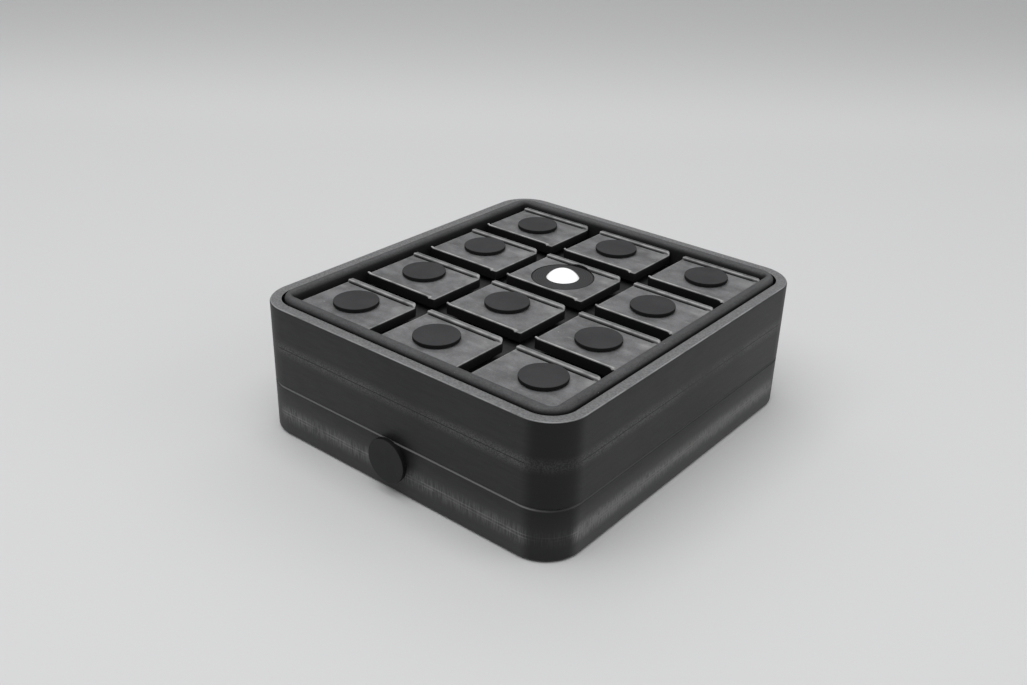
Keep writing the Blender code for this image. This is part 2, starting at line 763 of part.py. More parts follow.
def plain_tile(finish):
    """The pattern for eleven keys: plate, beads, spring pocket and stem, at the origin."""
    tile = tile_body("tile_pattern", CUTTERS)
    pocket = rod(
        "tile_pocket",
        (0, 0, TILE_BOTTOM - EMBED),
        (0, 0, pocket_top(False)),
        spring_reach(False),
    )
    cut(tile, pocket)
    join(tile, lathe("tile_stem", stem_profile(), sides=PIN_ROUND))
    return dress(tile, finish)


def ball_tile(finish):
    """The ball key: its plate holds a cup for the ball, and a slanted blade drives the lock plate."""
    tile = tile_body("ball_tile_pattern", CUTTERS, ball_key=True)
    pocket = rod(
        "ball_pocket",
        (0, 0, TILE_BOTTOM - EMBED),
        (0, 0, pocket_top(True)),
        spring_reach(True),
        sides=ROUND,
    )
    cup_top = (0, 0, pocket_top(True) + RING_WEB / 2)
    cup = rod("ball_cup", (0, 0, CUP_BOTTOM), cup_top, CUP_OUTER, sides=ROUND)
    ring_seat = rod(
        "ring_seat",
        (0, 0, TILE_TOP - RING_HEIGHT - FIT),
        (0, 0, TILE_TOP + FAR_BEAD_HEIGHT + EMBED),
        RING_RADIUS + FIT,
        sides=DISC_ROUND,
    )
    cut(tile, pocket)
    join(tile, cup, slanted_blade())
    cut(tile, ring_seat, lathe("cup_bowl", bowl_profile(), sides=ROUND))
    return dress(tile, finish)


def bowl_profile():
    """The hollow in the cup: straight down to the ball's middle, then round beneath it."""
    steps = ROUND // 4
    points = [(0.0, TILE_TOP), (CUP_INNER, TILE_TOP)]
    for step in range(steps):
        angle = math.pi / 2 * step / steps
        points.append((CUP_INNER * math.cos(angle), BALL_CENTRE_Z - CUP_INNER * math.sin(angle)))
    points.append((0.0, BALL_CENTRE_Z - CUP_INNER))
    return points


def slanted_blade():
    """The blade under the cup: it leans forward going up, by as much as it rises."""
    foot = LOCK_BOTTOM - KEY_TRAVEL / 2
    head = CUP_BOTTOM + CUP_WALL / 2
    blade = block(
        "slanted_blade",
        (-BLADE_WIDTH / 2, -BLADE_THICKNESS / 2, foot),
        (BLADE_WIDTH / 2, BLADE_THICKNESS / 2, head),
    )
    middle = (LOCK_TOP + LOCK_BOTTOM) / 2
    for vertex in blade.data.vertices:
        vertex.co.y -= vertex.co.z - middle
    return blade


def spring_mesh(name, ball_key, finish):
    """A compression spring at the origin, from the deck's seat to the key's pocket."""
    low = DECK_TOP - SPRING_SEAT + FIT + SPRING_WIRE / 2
    high = pocket_top(ball_key) - FIT - SPRING_WIRE / 2
    radius = spring_mean_radius(ball_key)
    per_turn = 12 if ball_key else 8
    count = SPRING_TURNS * per_turn + 1
    points = []
    for i in range(count):
        angle = math.tau * i / per_turn
        height = low + (high - low) * i / (count - 1)
        points.append((radius * math.cos(angle), radius * math.sin(angle), height))
    coil = curve_object(name + "_coil", points, PARTS, "3D", cyclic=False)
    coil.data.bevel_depth = SPRING_WIRE / 2
    coil.data.bevel_resolution = 1
    coil.data.use_fill_caps = True
    return meshed(coil, finish, name)


def keys(tile_finish, disc_finish, ball_finish, spring_finish):
    """All twelve keys with their discs, springs, ring and ball."""
    tile = plain_tile(tile_finish)
    disc_low = TILE_TOP + FIT
    disc = rod(
        "disc_pattern", (0, 0, disc_low), (0, 0, disc_low + DISC_HEIGHT), DISC_RADIUS, sides=DISC_ROUND
    )
    dress(disc, disc_finish)
    spring = spring_mesh("spring_pattern", False, spring_finish)
    made = []
    for row, column, x, y in key_places():
        tag = f"r{row + 1}c{column + 1}"
        if is_ball_key(row, column):
            made.append(copy_to(f"key_tile_{tag}", ball_tile(tile_finish), x, y))
            made.append(copy_to("socket_ring", ring_pattern(disc_finish), x, y))
            made.append(ball_at(x, y, ball_finish))
            coil = spring_mesh(f"key_spring_{tag}", True, spring_finish)
            coil.location = (x, y, 0.0)
            made.append(coil)
        else:
            shift_x, shift_y = DISC_SHIFTS[row, column]
            made.append(copy_to(f"key_tile_{tag}", tile, x, y))
            made.append(copy_to(f"button_disc_{tag}", disc, x + shift_x, y + shift_y))
            made.append(copy_to(f"key_spring_{tag}", spring, x, y))
    bpy.data.objects.remove(spring, do_unlink=True)
    return made


def ring_pattern(finish):
    """The ring that holds the ball down, at the origin, with a hole that clears the ball."""
    low, high = TILE_TOP - RING_HEIGHT, TILE_TOP
    ring = rod("ring_body", (0, 0, low), (0, 0, high), RING_RADIUS, sides=DISC_ROUND)
    hole = rod("ring_hole", (0, 0, low - EMBED), (0, 0, high + EMBED), BALL_HOLE, sides=DISC_ROUND)
    return dress(cut(ring, hole), finish)


def ball_at(x, y, finish):
    """The ball, with its own origin at its centre."""
    bm = bmesh.new()
    bmesh.ops.create_uvsphere(bm, u_segments=ROUND, v_segments=ROUND // 2, radius=BALL_RADIUS)
    ball = dress(add_object("ball", mesh_from(bm, "ball"), PARTS), finish)
    ball.location = (x, y, BALL_CENTRE_Z)
    return ball


def hinge_pin(finish):
    """The pin through the hinge knuckles."""
    half = HINGE_LENGTH / 2 - SLIDE
    start, end = (-half, HINGE_Y, HINGE_Z), (half, HINGE_Y, HINGE_Z)
    pin = rod("hinge_pin", start, end, HINGE_PIN_RADIUS, PARTS, PIN_ROUND)
    return dress(pin, finish)


def knob(disc_finish, metal):
    """The knob's disc, its shaft, the hook behind the wall and the hook's screw."""
    face = FRONT - KNOB_STANDOFF - KNOB_THICKNESS
    back = FRONT - KNOB_STANDOFF
    disc = rod("knob_disc", (0, face, KNOB_Z), (0, back, KNOB_Z), KNOB_RADIUS, PARTS, DISC_ROUND)
    dress(disc, disc_finish)

    wall_inside = FRONT + WALL
    hook_front = wall_inside + 2 * FIT
    hook_back = hook_front + HOOK_THICKNESS
    flange_front = back + FIT
    flange_back = FRONT - FIT
    bore = CAM_SCREW_RADIUS + FIT
    # The shaft's profile is turned about Z with its front end up, then laid along Y.
    profile = [
        (0.0, -flange_front),
        (NECK_FLANGE_RADIUS, -flange_front),
        (NECK_FLANGE_RADIUS, -flange_back),
        (SHAFT_RADIUS, -flange_back),
        (SHAFT_RADIUS, -hook_back),
        (bore, -hook_back),
        (bore, -hook_back + CAM_SCREW_LENGTH + FIT),
        (0.0, -hook_back + CAM_SCREW_LENGTH + FIT),
    ]
    shaft = dress(lathe("knob_shaft", profile, PARTS), metal)
    shaft.rotation_euler = (math.pi / 2, 0.0, 0.0)
    shaft.location = (0.0, 0.0, KNOB_Z)

    screw_profile_points = [
        (0.0, CAM_SCREW_HEIGHT),
        (CAM_SCREW_HEAD, CAM_SCREW_HEIGHT),
        (CAM_SCREW_HEAD, 0.0),
        (CAM_SCREW_RADIUS, 0.0),
        (CAM_SCREW_RADIUS, -CAM_SCREW_LENGTH),
        (0.0, -CAM_SCREW_LENGTH),
    ]
    screw = dress(lathe("cam_screw", screw_profile_points, PARTS, PIN_ROUND), metal)
    screw.rotation_euler = (-math.pi / 2, 0.0, 0.0)
    screw.location = (0.0, hook_back + FIT, KNOB_Z)

    outline = hook_outline()
    flat = curve_object("hook_outline", outline, CUTTERS, "2D")
    flat.data.fill_mode = "BOTH"
    flat.data.extrude = HOOK_THICKNESS / 2
    flat.rotation_euler = (math.pi / 2, 0.0, 0.0)
    flat.location = (0.0, (hook_front + hook_back) / 2, KNOB_Z)
    hook = meshed(flat, metal, "hook_cam")
    eye = rod(
        "hook_eye", (0, hook_front - EMBED, KNOB_Z), (0, hook_back + EMBED, KNOB_Z), SHAFT_RADIUS + FIT
    )
    cut(hook, eye)
    dress(hook, metal)
    return disc, shaft, screw, hook


def hook_outline():
    """The hook seen from the front, unlocked: hub, arm and an arched jaw, about the knob axis."""

    def arc(radius, start, end, steps):
        angles = [math.radians(start + (end - start) * i / steps) for i in range(steps + 1)]
        return [(radius * math.cos(a), radius * math.sin(a)) for a in angles]

    arm_start = HOOK_JAW_END - HOOK_ARM_ANGLE
    hub_spread = 30.0  # half the angle that the arm takes up on the hub
    arm_middle = (arm_start + HOOK_JAW_END) / 2
    return (
        arc(HOOK_JAW_OUTER, HOOK_JAW_START, HOOK_JAW_END, 8)
        + arc(HOOK_HUB_RADIUS, arm_middle + hub_spread, arm_middle + 360 - hub_spread, 14)
        + arc(HOOK_JAW_INNER, arm_start, HOOK_JAW_START, 6)
    )


def main():
    """Build the whole box."""
    start_scene()
    shell_black = material("shell_black", (0.020, 0.020, 0.022), 0.42)
    bezel_black = material("bezel_black", (0.022, 0.022, 0.024), 0.36)
    key_black = material("key_black", (0.030, 0.030, 0.032), 0.38)
    disc_black = material("disc_black", (0.028, 0.028, 0.030), 0.62)
    inner_black = material("inner_black", (0.035, 0.035, 0.037), 0.55)
    ball_white = material("ball_white", (0.86, 0.86, 0.86), 0.25)
    steel = material("steel", (0.56, 0.56, 0.57), 0.3, 1.0)
    spring_steel = material("spring_steel", (0.62, 0.62, 0.64), 0.25, 1.0)

    base_shell(shell_black)
    hinge_pin(steel)
    lid = [
        upper_shell(shell_black),
        deck_plate(inner_black),
        bottom_cover(inner_black),
        lock_plate(steel),
        bezel_frame(bezel_black),
    ]
    lid += keys(key_black, disc_black, ball_white, spring_steel)
    lid += screws(steel)
    hang_on("lid_hinge_axis", (0.0, HINGE_Y, HINGE_Z), lid)
    hang_on("knob_axis", (0.0, FRONT, KNOB_Z), knob(disc_black, steel))


main()
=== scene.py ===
"""Looks for a twelve-key puzzle box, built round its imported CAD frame.

The frame has +Z up and its origin in the middle of the tray's underside. X runs along the front,
where the turning knob is, and +Y runs to the back, where the hinge is. Sizes are in metres.
"""

import logging
import math
from collections.abc import Callable, Iterable, Sequence
from dataclasses import dataclass
from enum import Enum

import bmesh
import bpy
from mathutils import Matrix, Vector


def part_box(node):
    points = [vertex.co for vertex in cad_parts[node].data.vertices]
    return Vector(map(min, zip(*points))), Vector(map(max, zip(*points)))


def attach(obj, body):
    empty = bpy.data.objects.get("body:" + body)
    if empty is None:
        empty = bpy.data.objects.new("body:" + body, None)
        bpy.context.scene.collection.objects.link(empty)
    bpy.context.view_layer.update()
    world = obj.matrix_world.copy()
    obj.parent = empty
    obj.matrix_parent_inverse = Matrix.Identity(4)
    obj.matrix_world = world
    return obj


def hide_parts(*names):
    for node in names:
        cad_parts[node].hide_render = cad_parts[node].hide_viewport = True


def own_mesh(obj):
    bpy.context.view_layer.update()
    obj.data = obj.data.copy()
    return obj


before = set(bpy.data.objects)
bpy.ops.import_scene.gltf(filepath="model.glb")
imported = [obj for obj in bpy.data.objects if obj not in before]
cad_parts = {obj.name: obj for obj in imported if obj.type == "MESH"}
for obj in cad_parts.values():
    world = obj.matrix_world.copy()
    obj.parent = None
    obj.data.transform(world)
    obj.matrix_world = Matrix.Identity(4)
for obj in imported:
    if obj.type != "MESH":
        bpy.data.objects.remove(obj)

LOG = logging.getLogger("puzzle_box")
MM = 0.001
SHARP_ANGLE = math.radians(35)
# the point attribute that carries painted highlights and painted shade on the keys
HIGHLIGHT_AND_SHADE = "wear"

Point = tuple[float, float, float]
Profile = list[tuple[float, float]]
Stops = tuple[tuple[float, float], ...]


class Corner(Enum):
    """Which corner of an outline, seen from above."""

    FRONT_RIGHT = (1, -1, -90)
    BACK_RIGHT = (1, 1, 0)
    BACK_LEFT = (-1, 1, 90)
    FRONT_LEFT = (-1, -1, 180)


class Blend(Enum):
    """How a mask fades between its two limits."""

    STRAIGHT = "LINEAR"
    SOFT = "SMOOTHSTEP"


def shade(colour: Point, scale: float) -> Point:
    """A colour made darker or lighter."""
    return tuple(c * scale for c in colour)


def middle_of(node: str) -> Vector:
    """The middle of a node's box."""
    low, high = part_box(node)
    return (low + high) / 2


def ramp(value: float) -> float:
    """Hold a number between 0 and 1."""
    return min(1.0, max(0.0, value))


def grows(gap: float, start: float, over: float) -> float:
    """0 until a gap's start, then up to 1 over a further distance."""
    return ramp((gap - start) / over)


def fades(gap: float, end: float, over: float) -> float:
    """1 until a distance before a gap's end, then down to 0 at it."""
    return ramp((end - gap) / over)


def read_curve(stops: Stops, at: float) -> float:
    """Read a curve given by stops, with a soft step between neighbours.

    Args:
        stops: pairs of place and value, in rising order of place.
        at: the place to read.

    Returns:
        The value there; past the last stop it is the last value.
    """
    for (start, first), (end, second) in zip(stops, stops[1:]):
        if at <= end:
            share = grows(at, start, end - start)
            return first + (second - first) * share * share * (3 - 2 * share)
    return stops[-1][1]


def read_band(stops: Stops, at: float) -> float:
    """Read a curve that is 0 outside its stops."""
    return read_curve(stops, at) if stops[0][0] < at < stops[-1][0] else 0.0


# ---------------------------------------------------------------- shader graphs


class Value:
    """A number socket that takes part in arithmetic.

    Args:
        graph: the graph that the socket belongs to.
        socket: the output that gives the number.
    """

    def __init__(self, graph: "Graph", socket: bpy.types.NodeSocket) -> None:
        """Keep the socket and its graph."""
        self.graph = graph
        self.socket = socket

    def _math(self, operation: str, *values: object) -> "Value":
        """Add one Math node.

        Args:
            operation: the Math node's operation.
            values: its inputs, numbers or Values.

        Returns:
            The node's result.
        """
        return self.graph.add("ShaderNodeMath", {"operation": operation}, dict(enumerate(values)))

    def __add__(self, other: object) -> "Value":
        """Sum."""
        return self._math("ADD", self, other)

    __radd__ = __add__

    def __sub__(self, other: object) -> "Value":
        """Difference."""
        return self._math("SUBTRACT", self, other)

    def __rsub__(self, other: object) -> "Value":
        """Difference the other way round."""
        return self._math("SUBTRACT", other, self)

    def __mul__(self, other: object) -> "Value":
        """Product."""
        return self._math("MULTIPLY", self, other)

    __rmul__ = __mul__

    def __abs__(self) -> "Value":
        """Size without its sign."""
        return self._math("ABSOLUTE", self)

    def sine(self) -> "Value":
        """Sine of an angle in radians."""
        return self._math("SINE", self)

    def fade(self, low: float, high: float, blend: Blend = Blend.SOFT) -> "Value":
        """A mask that goes from 0 at low to 1 at high.

        Args:
            low: the number that gives 0.
            high: the number that gives 1; it may be the smaller one.
            blend: how it goes from one to the other.

        Returns:
            The mask.
        """
        settings = {"interpolation_type": blend.value, "clamp": True}
        inputs = {"Value": self, "From Min": low, "From Max": high}
        return self.graph.add("ShaderNodeMapRange", settings, inputs)


def add_node(tree: bpy.types.NodeTree, kind: str, settings: dict, inputs: dict) -> bpy.types.Node:
    """Add a node to a tree: first its settings, then its inputs.

    Args:
        tree: the tree.
        kind: the node's type.
        settings: the node's own properties.
        inputs: values, sockets to link or Values, by the input's name or number.

    Returns:
        The node.
    """
    node = tree.nodes.new(kind)
    for key, value in settings.items():
        setattr(node, key, value)
    for key, value in inputs.items():
        feed(tree, node.inputs[key], value)
    return node


def feed(tree: bpy.types.NodeTree, socket: bpy.types.NodeSocket, value: object) -> None:
    """Link a socket or a Value to an input, or set a plain value on it.

    Args:
        tree: the tree that the input is in.
        socket: the input to feed.
        value: a Value, a socket, or a number or colour.
    """
    value = value.socket if isinstance(value, Value) else value
    if isinstance(value, bpy.types.NodeSocket):
        tree.links.new(value, socket)
    else:
        socket.default_value = value


class Graph:
    """A material's node tree, with one method that adds any node.

    Args:
        name: the material's name.
    """

    def __init__(self, name: str) -> None:
        """Start the material with its Principled shader."""
        self.material = bpy.data.materials.new(name)
        self.material.use_nodes = True
        self.tree = self.material.node_tree
        self.shader = self.tree.nodes["Principled BSDF"]
        place = self.tree.nodes.new("ShaderNodeTexCoord")
        self.place = Value(self, place.outputs["Object"])
        self.facing = Value(self, place.outputs["Normal"])

    def add(self, kind: str, settings: dict, inputs: dict, output: object = 0) -> Value:
        """Add a node and take the output with a given name or number, ready for arithmetic."""
        return Value(self, add_node(self.tree, kind, settings, inputs).outputs[output])

    def set(self, **sockets: object) -> None:
        """Feed the Principled shader.

        Args:
            sockets: what to feed, by the input's name in small letters, with underscores for spaces.
        """
        for key, value in sockets.items():
            title = "IOR" if key == "ior" else key.replace("_", " ").title()
            feed(self.tree, self.shader.inputs[title], value)

    def axis(self, vector: Value, letter: str) -> Value:
        """One component of a vector."""
        return self.add("ShaderNodeSeparateXYZ", {}, {0: vector}, letter)

    def mix(self, factor: object, first: object, second: object) -> Value:
        """Mix two colours.

        Args:
            factor: 0 for the first, 1 for the second.
            first: a colour, as three numbers or a Value.
            second: the other colour.

        Returns:
            The mixed colour.
        """
        colours = [(*c, 1.0) if isinstance(c, tuple) else c for c in (first, second)]
        settings = {"data_type": "RGBA", "clamp_factor": True}
        return self.add("ShaderNodeMix", settings, {0: factor, 6: colours[0], 7: colours[1]}, 2)

    def layers(self, base: object, *layers: tuple[object, object]) -> Value:
        """Lay colours over one another.

        Args:
            base: the lowest colour.
            layers: pairs of a mask and the colour that it lets show.

        Returns:
            The colour seen from above.
        """
        for mask, colour in layers:
            base = self.mix(mask, base, colour)
        return base

    def noise(
        self, scale: float, stretch: Point = (1, 1, 1), detail: float = 3.0, seed: float = 0.0
    ) -> Value:
        """Soft noise on Object coordinates.

        Args:
            scale: how many blotches to a metre.
            stretch: how much finer the pattern is along each axis.
            detail: how many finer layers it has.
            seed: a shift that gives another pattern.

        Returns:
            Noise from 0 to 1, mostly near a half.
        """
        inputs = {"Vector": self.place, "Scale": stretch, "Location": (seed, seed * 0.7, seed * 0.3)}
        where = self.add("ShaderNodeMapping", {}, inputs)
        return self.add("ShaderNodeTexNoise", {}, {"Vector": where, "Scale": scale, "Detail": detail}, "Fac")

    def specks(self, scale: float, size: float, share: float) -> Value:
        """Small round specks, scattered by chance.

        Args:
            scale: how many cells to a metre.
            size: the speck's radius as a share of its cell.
            share: the share of cells that hold one.

        Returns:
            A mask that is 1 on a speck.
        """
        inputs = {"Vector": self.place, "Scale": scale}
        cell = self.add("ShaderNodeTexVoronoi", {}, inputs, "Distance")
        tint = self.add("ShaderNodeTexVoronoi", {}, inputs, "Color")
        chance = self.axis(tint, "X")
        return cell.fade(size, size * 0.5) * chance.fade(share, share * 0.8)

    def bump(self, height: Value, distance: float, strength: float = 1.0) -> Value:
        """A bump from a height that goes from 0 to 1.

        Args:
            height: the height.
            distance: how tall 1 is, in metres.
            strength: how much of it shows.

        Returns:
            The normal.
        """
        inputs = {"Height": height, "Distance": distance, "Strength": strength}
        return self.add("ShaderNodeBump", {}, inputs, "Normal")


# ---------------------------------------------------------------- finishes


@dataclass(frozen=True)
class Finish:
    """A plain finish; the others start from it.

    Attributes:
        name: the material's name.
        slot: a slot name; not used.
        deep: the colour with nothing on it.
        roughness: how matt it is.
    """

    name: str
    slot: str
    deep: Point
    roughness: float

    def draw(self, graph: Graph) -> None:
        """Colour the graph: fine grain in colour, roughness and relief.

        Args:
            graph: the material's graph.
        """
        grain = graph.noise(900.0, detail=4.0)
        graph.set(
            base_color=graph.mix(grain.fade(0.3, 0.8), self.deep, shade(self.deep, 1.5)),
            roughness=grain * 0.12 + (self.roughness - 0.06),
            normal=graph.bump(grain, 0.02 * MM, 0.5),
        )

    def material(self) -> bpy.types.Material:
        """Make the material, or find the one already made.

        Returns:
            The material.
        """
        made = bpy.data.materials.get(self.name)
        if made is None:
            graph = Graph(self.name)
            self.draw(graph)
            made = graph.material
        return made


@dataclass(frozen=True)
class WallPlastic(Finish):
    """Black walls with painted sheen on faces that look up, painted shade on the corners, and two scuffed
    lines round them.

    Attributes:
        top_sheen: the colour of faces that look up, painted lighter for the sheen they catch.
        rubbed_and_lit: the colour of the scuff bands and specks; made paler, the painted highlight on the
            seam.
        upper_line: height of the faint upper line.
        lower_line: height of the stronger lower line.
        seam_height: height of the lip where the two shells meet.
    """

    top_sheen: Point
    rubbed_and_lit: Point
    upper_line: float = 34.0 * MM
    lower_line: float = 8.7 * MM
    seam_height: float = 18.75 * MM

    def bands(
        self, graph: Graph, z: Value, straight: Value, cloud: Value, broken: Value
    ) -> tuple[Value, Value]:
        """The scuff bands round the walls, with painted light that makes them lighter low down and on the
        left and right walls.

        Args:
            graph: the material's graph.
            z: the height.
            straight: a mask that is 0 where the wall turns a corner.
            cloud: slow noise.
            broken: noise that breaks level lines.

        Returns:
            How strongly the band colour shows, scuff marks and painted light together, and the relief of the
            lower band's strokes.
        """
        mesh = graph.noise(2100.0, detail=1.0, seed=11.0).fade(0.36, 0.66) * 1.3 + 0.35
        upper = abs(z - self.upper_line).fade(3.6 * MM, 0.2 * MM)
        upper = upper * (cloud.fade(0.30, 0.60) * 0.8 + 0.2) * mesh * (straight * 0.6 + 0.4)
        lower = abs(z - self.lower_line)
        strokes = graph.noise(1.0, (3400.0, 3400.0, 300.0), detail=2.0, seed=9.0)
        fuzz = lower.fade(4.6 * MM, 0.2 * MM) * (strokes.fade(0.43, 0.58) * 0.9 + 0.25)
        fuzz = fuzz * (cloud.fade(0.28, 0.60) * 0.35 + 0.65)
        pair = abs(lower - 0.55 * MM).fade(0.36 * MM, 0.06 * MM) * broken.fade(0.34, 0.62)
        # painted light: the wall lighter below the seam, fully so low down
        painted_light = z.fade(18.5 * MM, 10.0 * MM) * (straight * 0.8 + 0.2)
        # painted light: the bands brighter on the left and right walls
        right = abs(graph.axis(graph.facing, "X")) * 0.85 + 0.85
        rubbed_and_lit = (fuzz * 0.62 + pair * 0.55) * (straight * 0.9 + 0.1) + painted_light * 0.15
        return upper * 0.24 + rubbed_and_lit * right, strokes * lower.fade(4.0 * MM, 0.4 * MM)

    def top_sheen_colour(self, graph: Graph, up: Value, grain: Value, broken: Value) -> Value:
        """The colour of faces that look up: painted sheen, with dust specks and a painted highlight on the
        rounded edge.

        Args:
            graph: the material's graph.
            up: how far the surface looks up.
            grain: fine noise.
            broken: noise that breaks up the painted highlight on the rounded edge.

        Returns:
            The colour.
        """
        # painted highlight on the rim's rounded outer edge
        edge = up.fade(0.50, 0.80) * up.fade(0.995, 0.90)
        return graph.layers(
            graph.mix(grain.fade(0.30, 0.70), shade(self.top_sheen, 0.74), shade(self.top_sheen, 1.24)),
            (graph.specks(700.0, 0.12, 0.04), shade(self.top_sheen, 2.2)),
            (edge * broken.fade(0.25, 0.6), shade(self.top_sheen, 1.9)),
        )

    def draw(self, graph: Graph) -> None:
        """Walls, bands, strokes, specks, painted sheen on the upper faces and painted shade on the corners.

        Args:
            graph: the material's graph.
        """
        z = graph.axis(graph.place, "Z")
        up = graph.axis(graph.facing, "Z")
        straight = abs(graph.axis(graph.facing, "X") * graph.axis(graph.facing, "Y")).fade(0.34, 0.04)
        cloud = graph.noise(26.0, detail=2.0, seed=3.0)
        grain = graph.noise(1400.0, detail=3.0)
        broken = graph.noise(1.0, (130.0, 130.0, 900.0), detail=4.0, seed=5.0)
        side = up.fade(0.75, 0.35)
        rubbed_and_lit, relief = self.bands(graph, z, straight, cloud, broken)
        scuffs_and_light = rubbed_and_lit * side
        cut = abs(z - self.upper_line).fade(0.20 * MM, 0.08 * MM) * cloud.fade(0.32, 0.46) * straight
        flat = graph.mix((cloud * 0.5 + broken * 0.5).fade(0.3, 0.7), self.deep, shade(self.deep, 1.6))
        # painted shade: where the wall turns a corner it stays far darker than on the straight runs
        wall = graph.layers(
            shade(self.deep, 0.15),
            (straight * 0.85 + 0.15, flat),
            (scuffs_and_light, self.rubbed_and_lit),
            (cut * side * 0.9, shade(self.deep, 0.1)),
            (graph.specks(420.0, 0.09, 0.05) * 0.7, self.rubbed_and_lit),
        )
        # painted highlight: a bright line on the seam's chamfer, strongest on the front and back walls
        seam = abs(z - self.seam_height)
        front = abs(graph.axis(graph.facing, "Y")).fade(0.3, 0.8) * 0.60 + 0.20
        lip = seam.fade(0.26 * MM, 0.12 * MM) * straight * front
        seam_edge = seam.fade(0.60 * MM, 0.40 * MM) * up.fade(0.99, 0.95)
        # painted sheen: faces that look up take a lighter colour than the walls
        top_sheen = self.top_sheen_colour(graph, up, grain, broken)
        graph.set(
            base_color=graph.layers(
                wall, (up.fade(0.45, 0.85) * (1 - seam_edge), top_sheen), (lip, shade(self.rubbed_and_lit, 1.5))
            ),
            roughness=grain * 0.10 + (self.roughness - 0.05) + scuffs_and_light * 0.2,
            normal=graph.bump(grain * 0.5 + relief, 0.02 * MM, 0.35),
            ior=1.34,
        )


@dataclass(frozen=True)
class BezelPlastic(Finish):
    """A softly brushed black frame, painted grey where it faces up for the sheen along its crest.

    Attributes:
        rubbed_and_lit: the crest's colour, painted grey for its sheen; made paler, the colour of dust specks.
    """

    rubbed_and_lit: Point

    def draw(self, graph: Graph) -> None:
        """Fine brushing, with painted sheen on the faces that look up.

        Args:
            graph: the material's graph.
        """
        up = graph.axis(graph.facing, "Z")
        cloud = graph.noise(40.0, detail=3.0, seed=2.0)
        brush = graph.noise(1.0, (420.0, 420.0, 2600.0), detail=4.0, seed=4.0)
        grain = graph.noise(1700.0, detail=3.0, seed=6.0)
        # painted sheen: faces that look up turn grey, varied at random
        worn_and_lit = up.fade(-0.1, 0.95) * (cloud.fade(0.2, 0.8) * 0.4 + 0.6)
        fine = brush.fade(0.3, 0.7) * 0.3 + grain.fade(0.3, 0.7) * 0.4 + 0.5
        surface = graph.mix(worn_and_lit * fine, self.deep, self.rubbed_and_lit)
        graph.set(
            base_color=graph.mix(graph.specks(600.0, 0.12, 0.03), surface, shade(self.rubbed_and_lit, 3)),
            roughness=brush * 0.16 + (self.roughness - 0.08),
            normal=graph.bump(brush * 0.5 + grain * 0.5, 0.03 * MM, 0.45),
            ior=1.38,
        )


@dataclass(frozen=True)
class KeyPlastic(Finish):
    """Black keys whose tops are painted grey for their sheen, with fingered smears, painted highlights by the
    edges and near-black sides.

    Attributes:
        painted_light: the top's colour, painted light grey for the sheen it catches.
        worn_and_lit: the colour of scratches and dust, and of the painted highlights by the edges.
    """

    painted_light: Point
    worn_and_lit: Point

    def draw(self, graph: Graph) -> None:
        """A top painted light for its sheen over dark sides; the mesh says where painted highlights and the
        groove's painted shade fall.

        Args:
            graph: the material's graph.
        """
        up = graph.axis(graph.facing, "Z")
        wear = graph.add("ShaderNodeAttribute", {"attribute_name": HIGHLIGHT_AND_SHADE}, {}, "Fac")
        cloud = graph.noise(85.0, (1.0, 1.4, 1.0), detail=4.0, seed=1.0)
        smear = graph.noise(1.0, (110.0, 420.0, 300.0), detail=5.0, seed=6.0)
        fine = graph.noise(1.0, (500.0, 2600.0, 900.0), detail=3.0, seed=8.0)
        cross = graph.noise(1.0, (1900.0, 380.0, 900.0), detail=3.0, seed=12.0)
        grain = graph.noise(2200.0, detail=2.0, seed=7.0)
        patch = graph.noise(210.0, detail=4.0, seed=13.0)
        mottle = cloud * 0.35 + patch * 0.3 + smear * 0.15 + grain * 0.2
        # painted highlights along the edges and crests, broken up by patch noise
        pale = wear.fade(0.0, 1.0, Blend.STRAIGHT) * (patch.fade(0.25, 0.65) * 0.7 + 0.3)
        top = graph.layers(
            graph.mix(mottle.fade(0.36, 0.64), shade(self.painted_light, 0.58), shade(self.painted_light, 1.22)),
            (smear.fade(0.58, 0.76) * 0.16, self.worn_and_lit),
            (fine.fade(0.60, 0.80) * cloud.fade(0.45, 0.70) * 0.35, self.worn_and_lit),
            (cross.fade(0.64, 0.84) * patch.fade(0.50, 0.70) * 0.50, self.worn_and_lit),
            (graph.specks(520.0, 0.12, 0.045) * 0.9, self.worn_and_lit),
            (pale, self.worn_and_lit),
            # painted shade in the groove behind the far bar
            (wear.fade(0.0, -1.0, Blend.STRAIGHT), self.deep),
        )
        # painted sheen: tops take the light grey colour, sides stay near black
        graph.set(
            base_color=graph.mix(up.fade(0.12, 0.70), self.deep, top),
            roughness=smear * 0.18 + (self.roughness - 0.09) + cloud * 0.06,
            normal=graph.bump(grain * 0.6 + fine * 0.4, 0.02 * MM, 0.35),
            ior=1.38,
        )


@dataclass(frozen=True)
class DiscPlastic(Finish):
    """Matt discs with a fine dark grain and painted shade on their sides.

    Attributes:
        faces_up: whether the flat side looks up; otherwise it looks to the front.
    """

    faces_up: bool = True

    def draw(self, graph: Graph) -> None:
        """Even, matt and dark, with a fine grain; the sides are painted darker as shade.

        Args:
            graph: the material's graph.
        """
        up = abs(graph.axis(graph.facing, "Z" if self.faces_up else "Y"))
        grain = graph.noise(1900.0, detail=3.0, seed=2.0)
        cloud = graph.noise(120.0, detail=2.0, seed=5.0)
        face = grain.fade(0.25, 0.75) * 0.5 + cloud.fade(0.3, 0.7) * 0.5
        top = graph.mix(face, shade(self.deep, 0.85), shade(self.deep, 1.2))
        # painted shade: the sides stay far darker than the flat face
        graph.set(
            base_color=graph.layers(
                shade(self.deep, 0.2),
                (up.fade(0.35, 0.9), top),
                (graph.specks(700.0, 0.10, 0.02), shade(self.deep, 5)),
            ),
            roughness=grain * 0.10 + (self.roughness - 0.05),
            normal=graph.bump(grain, 0.03 * MM, 0.5),
            ior=1.28,
        )


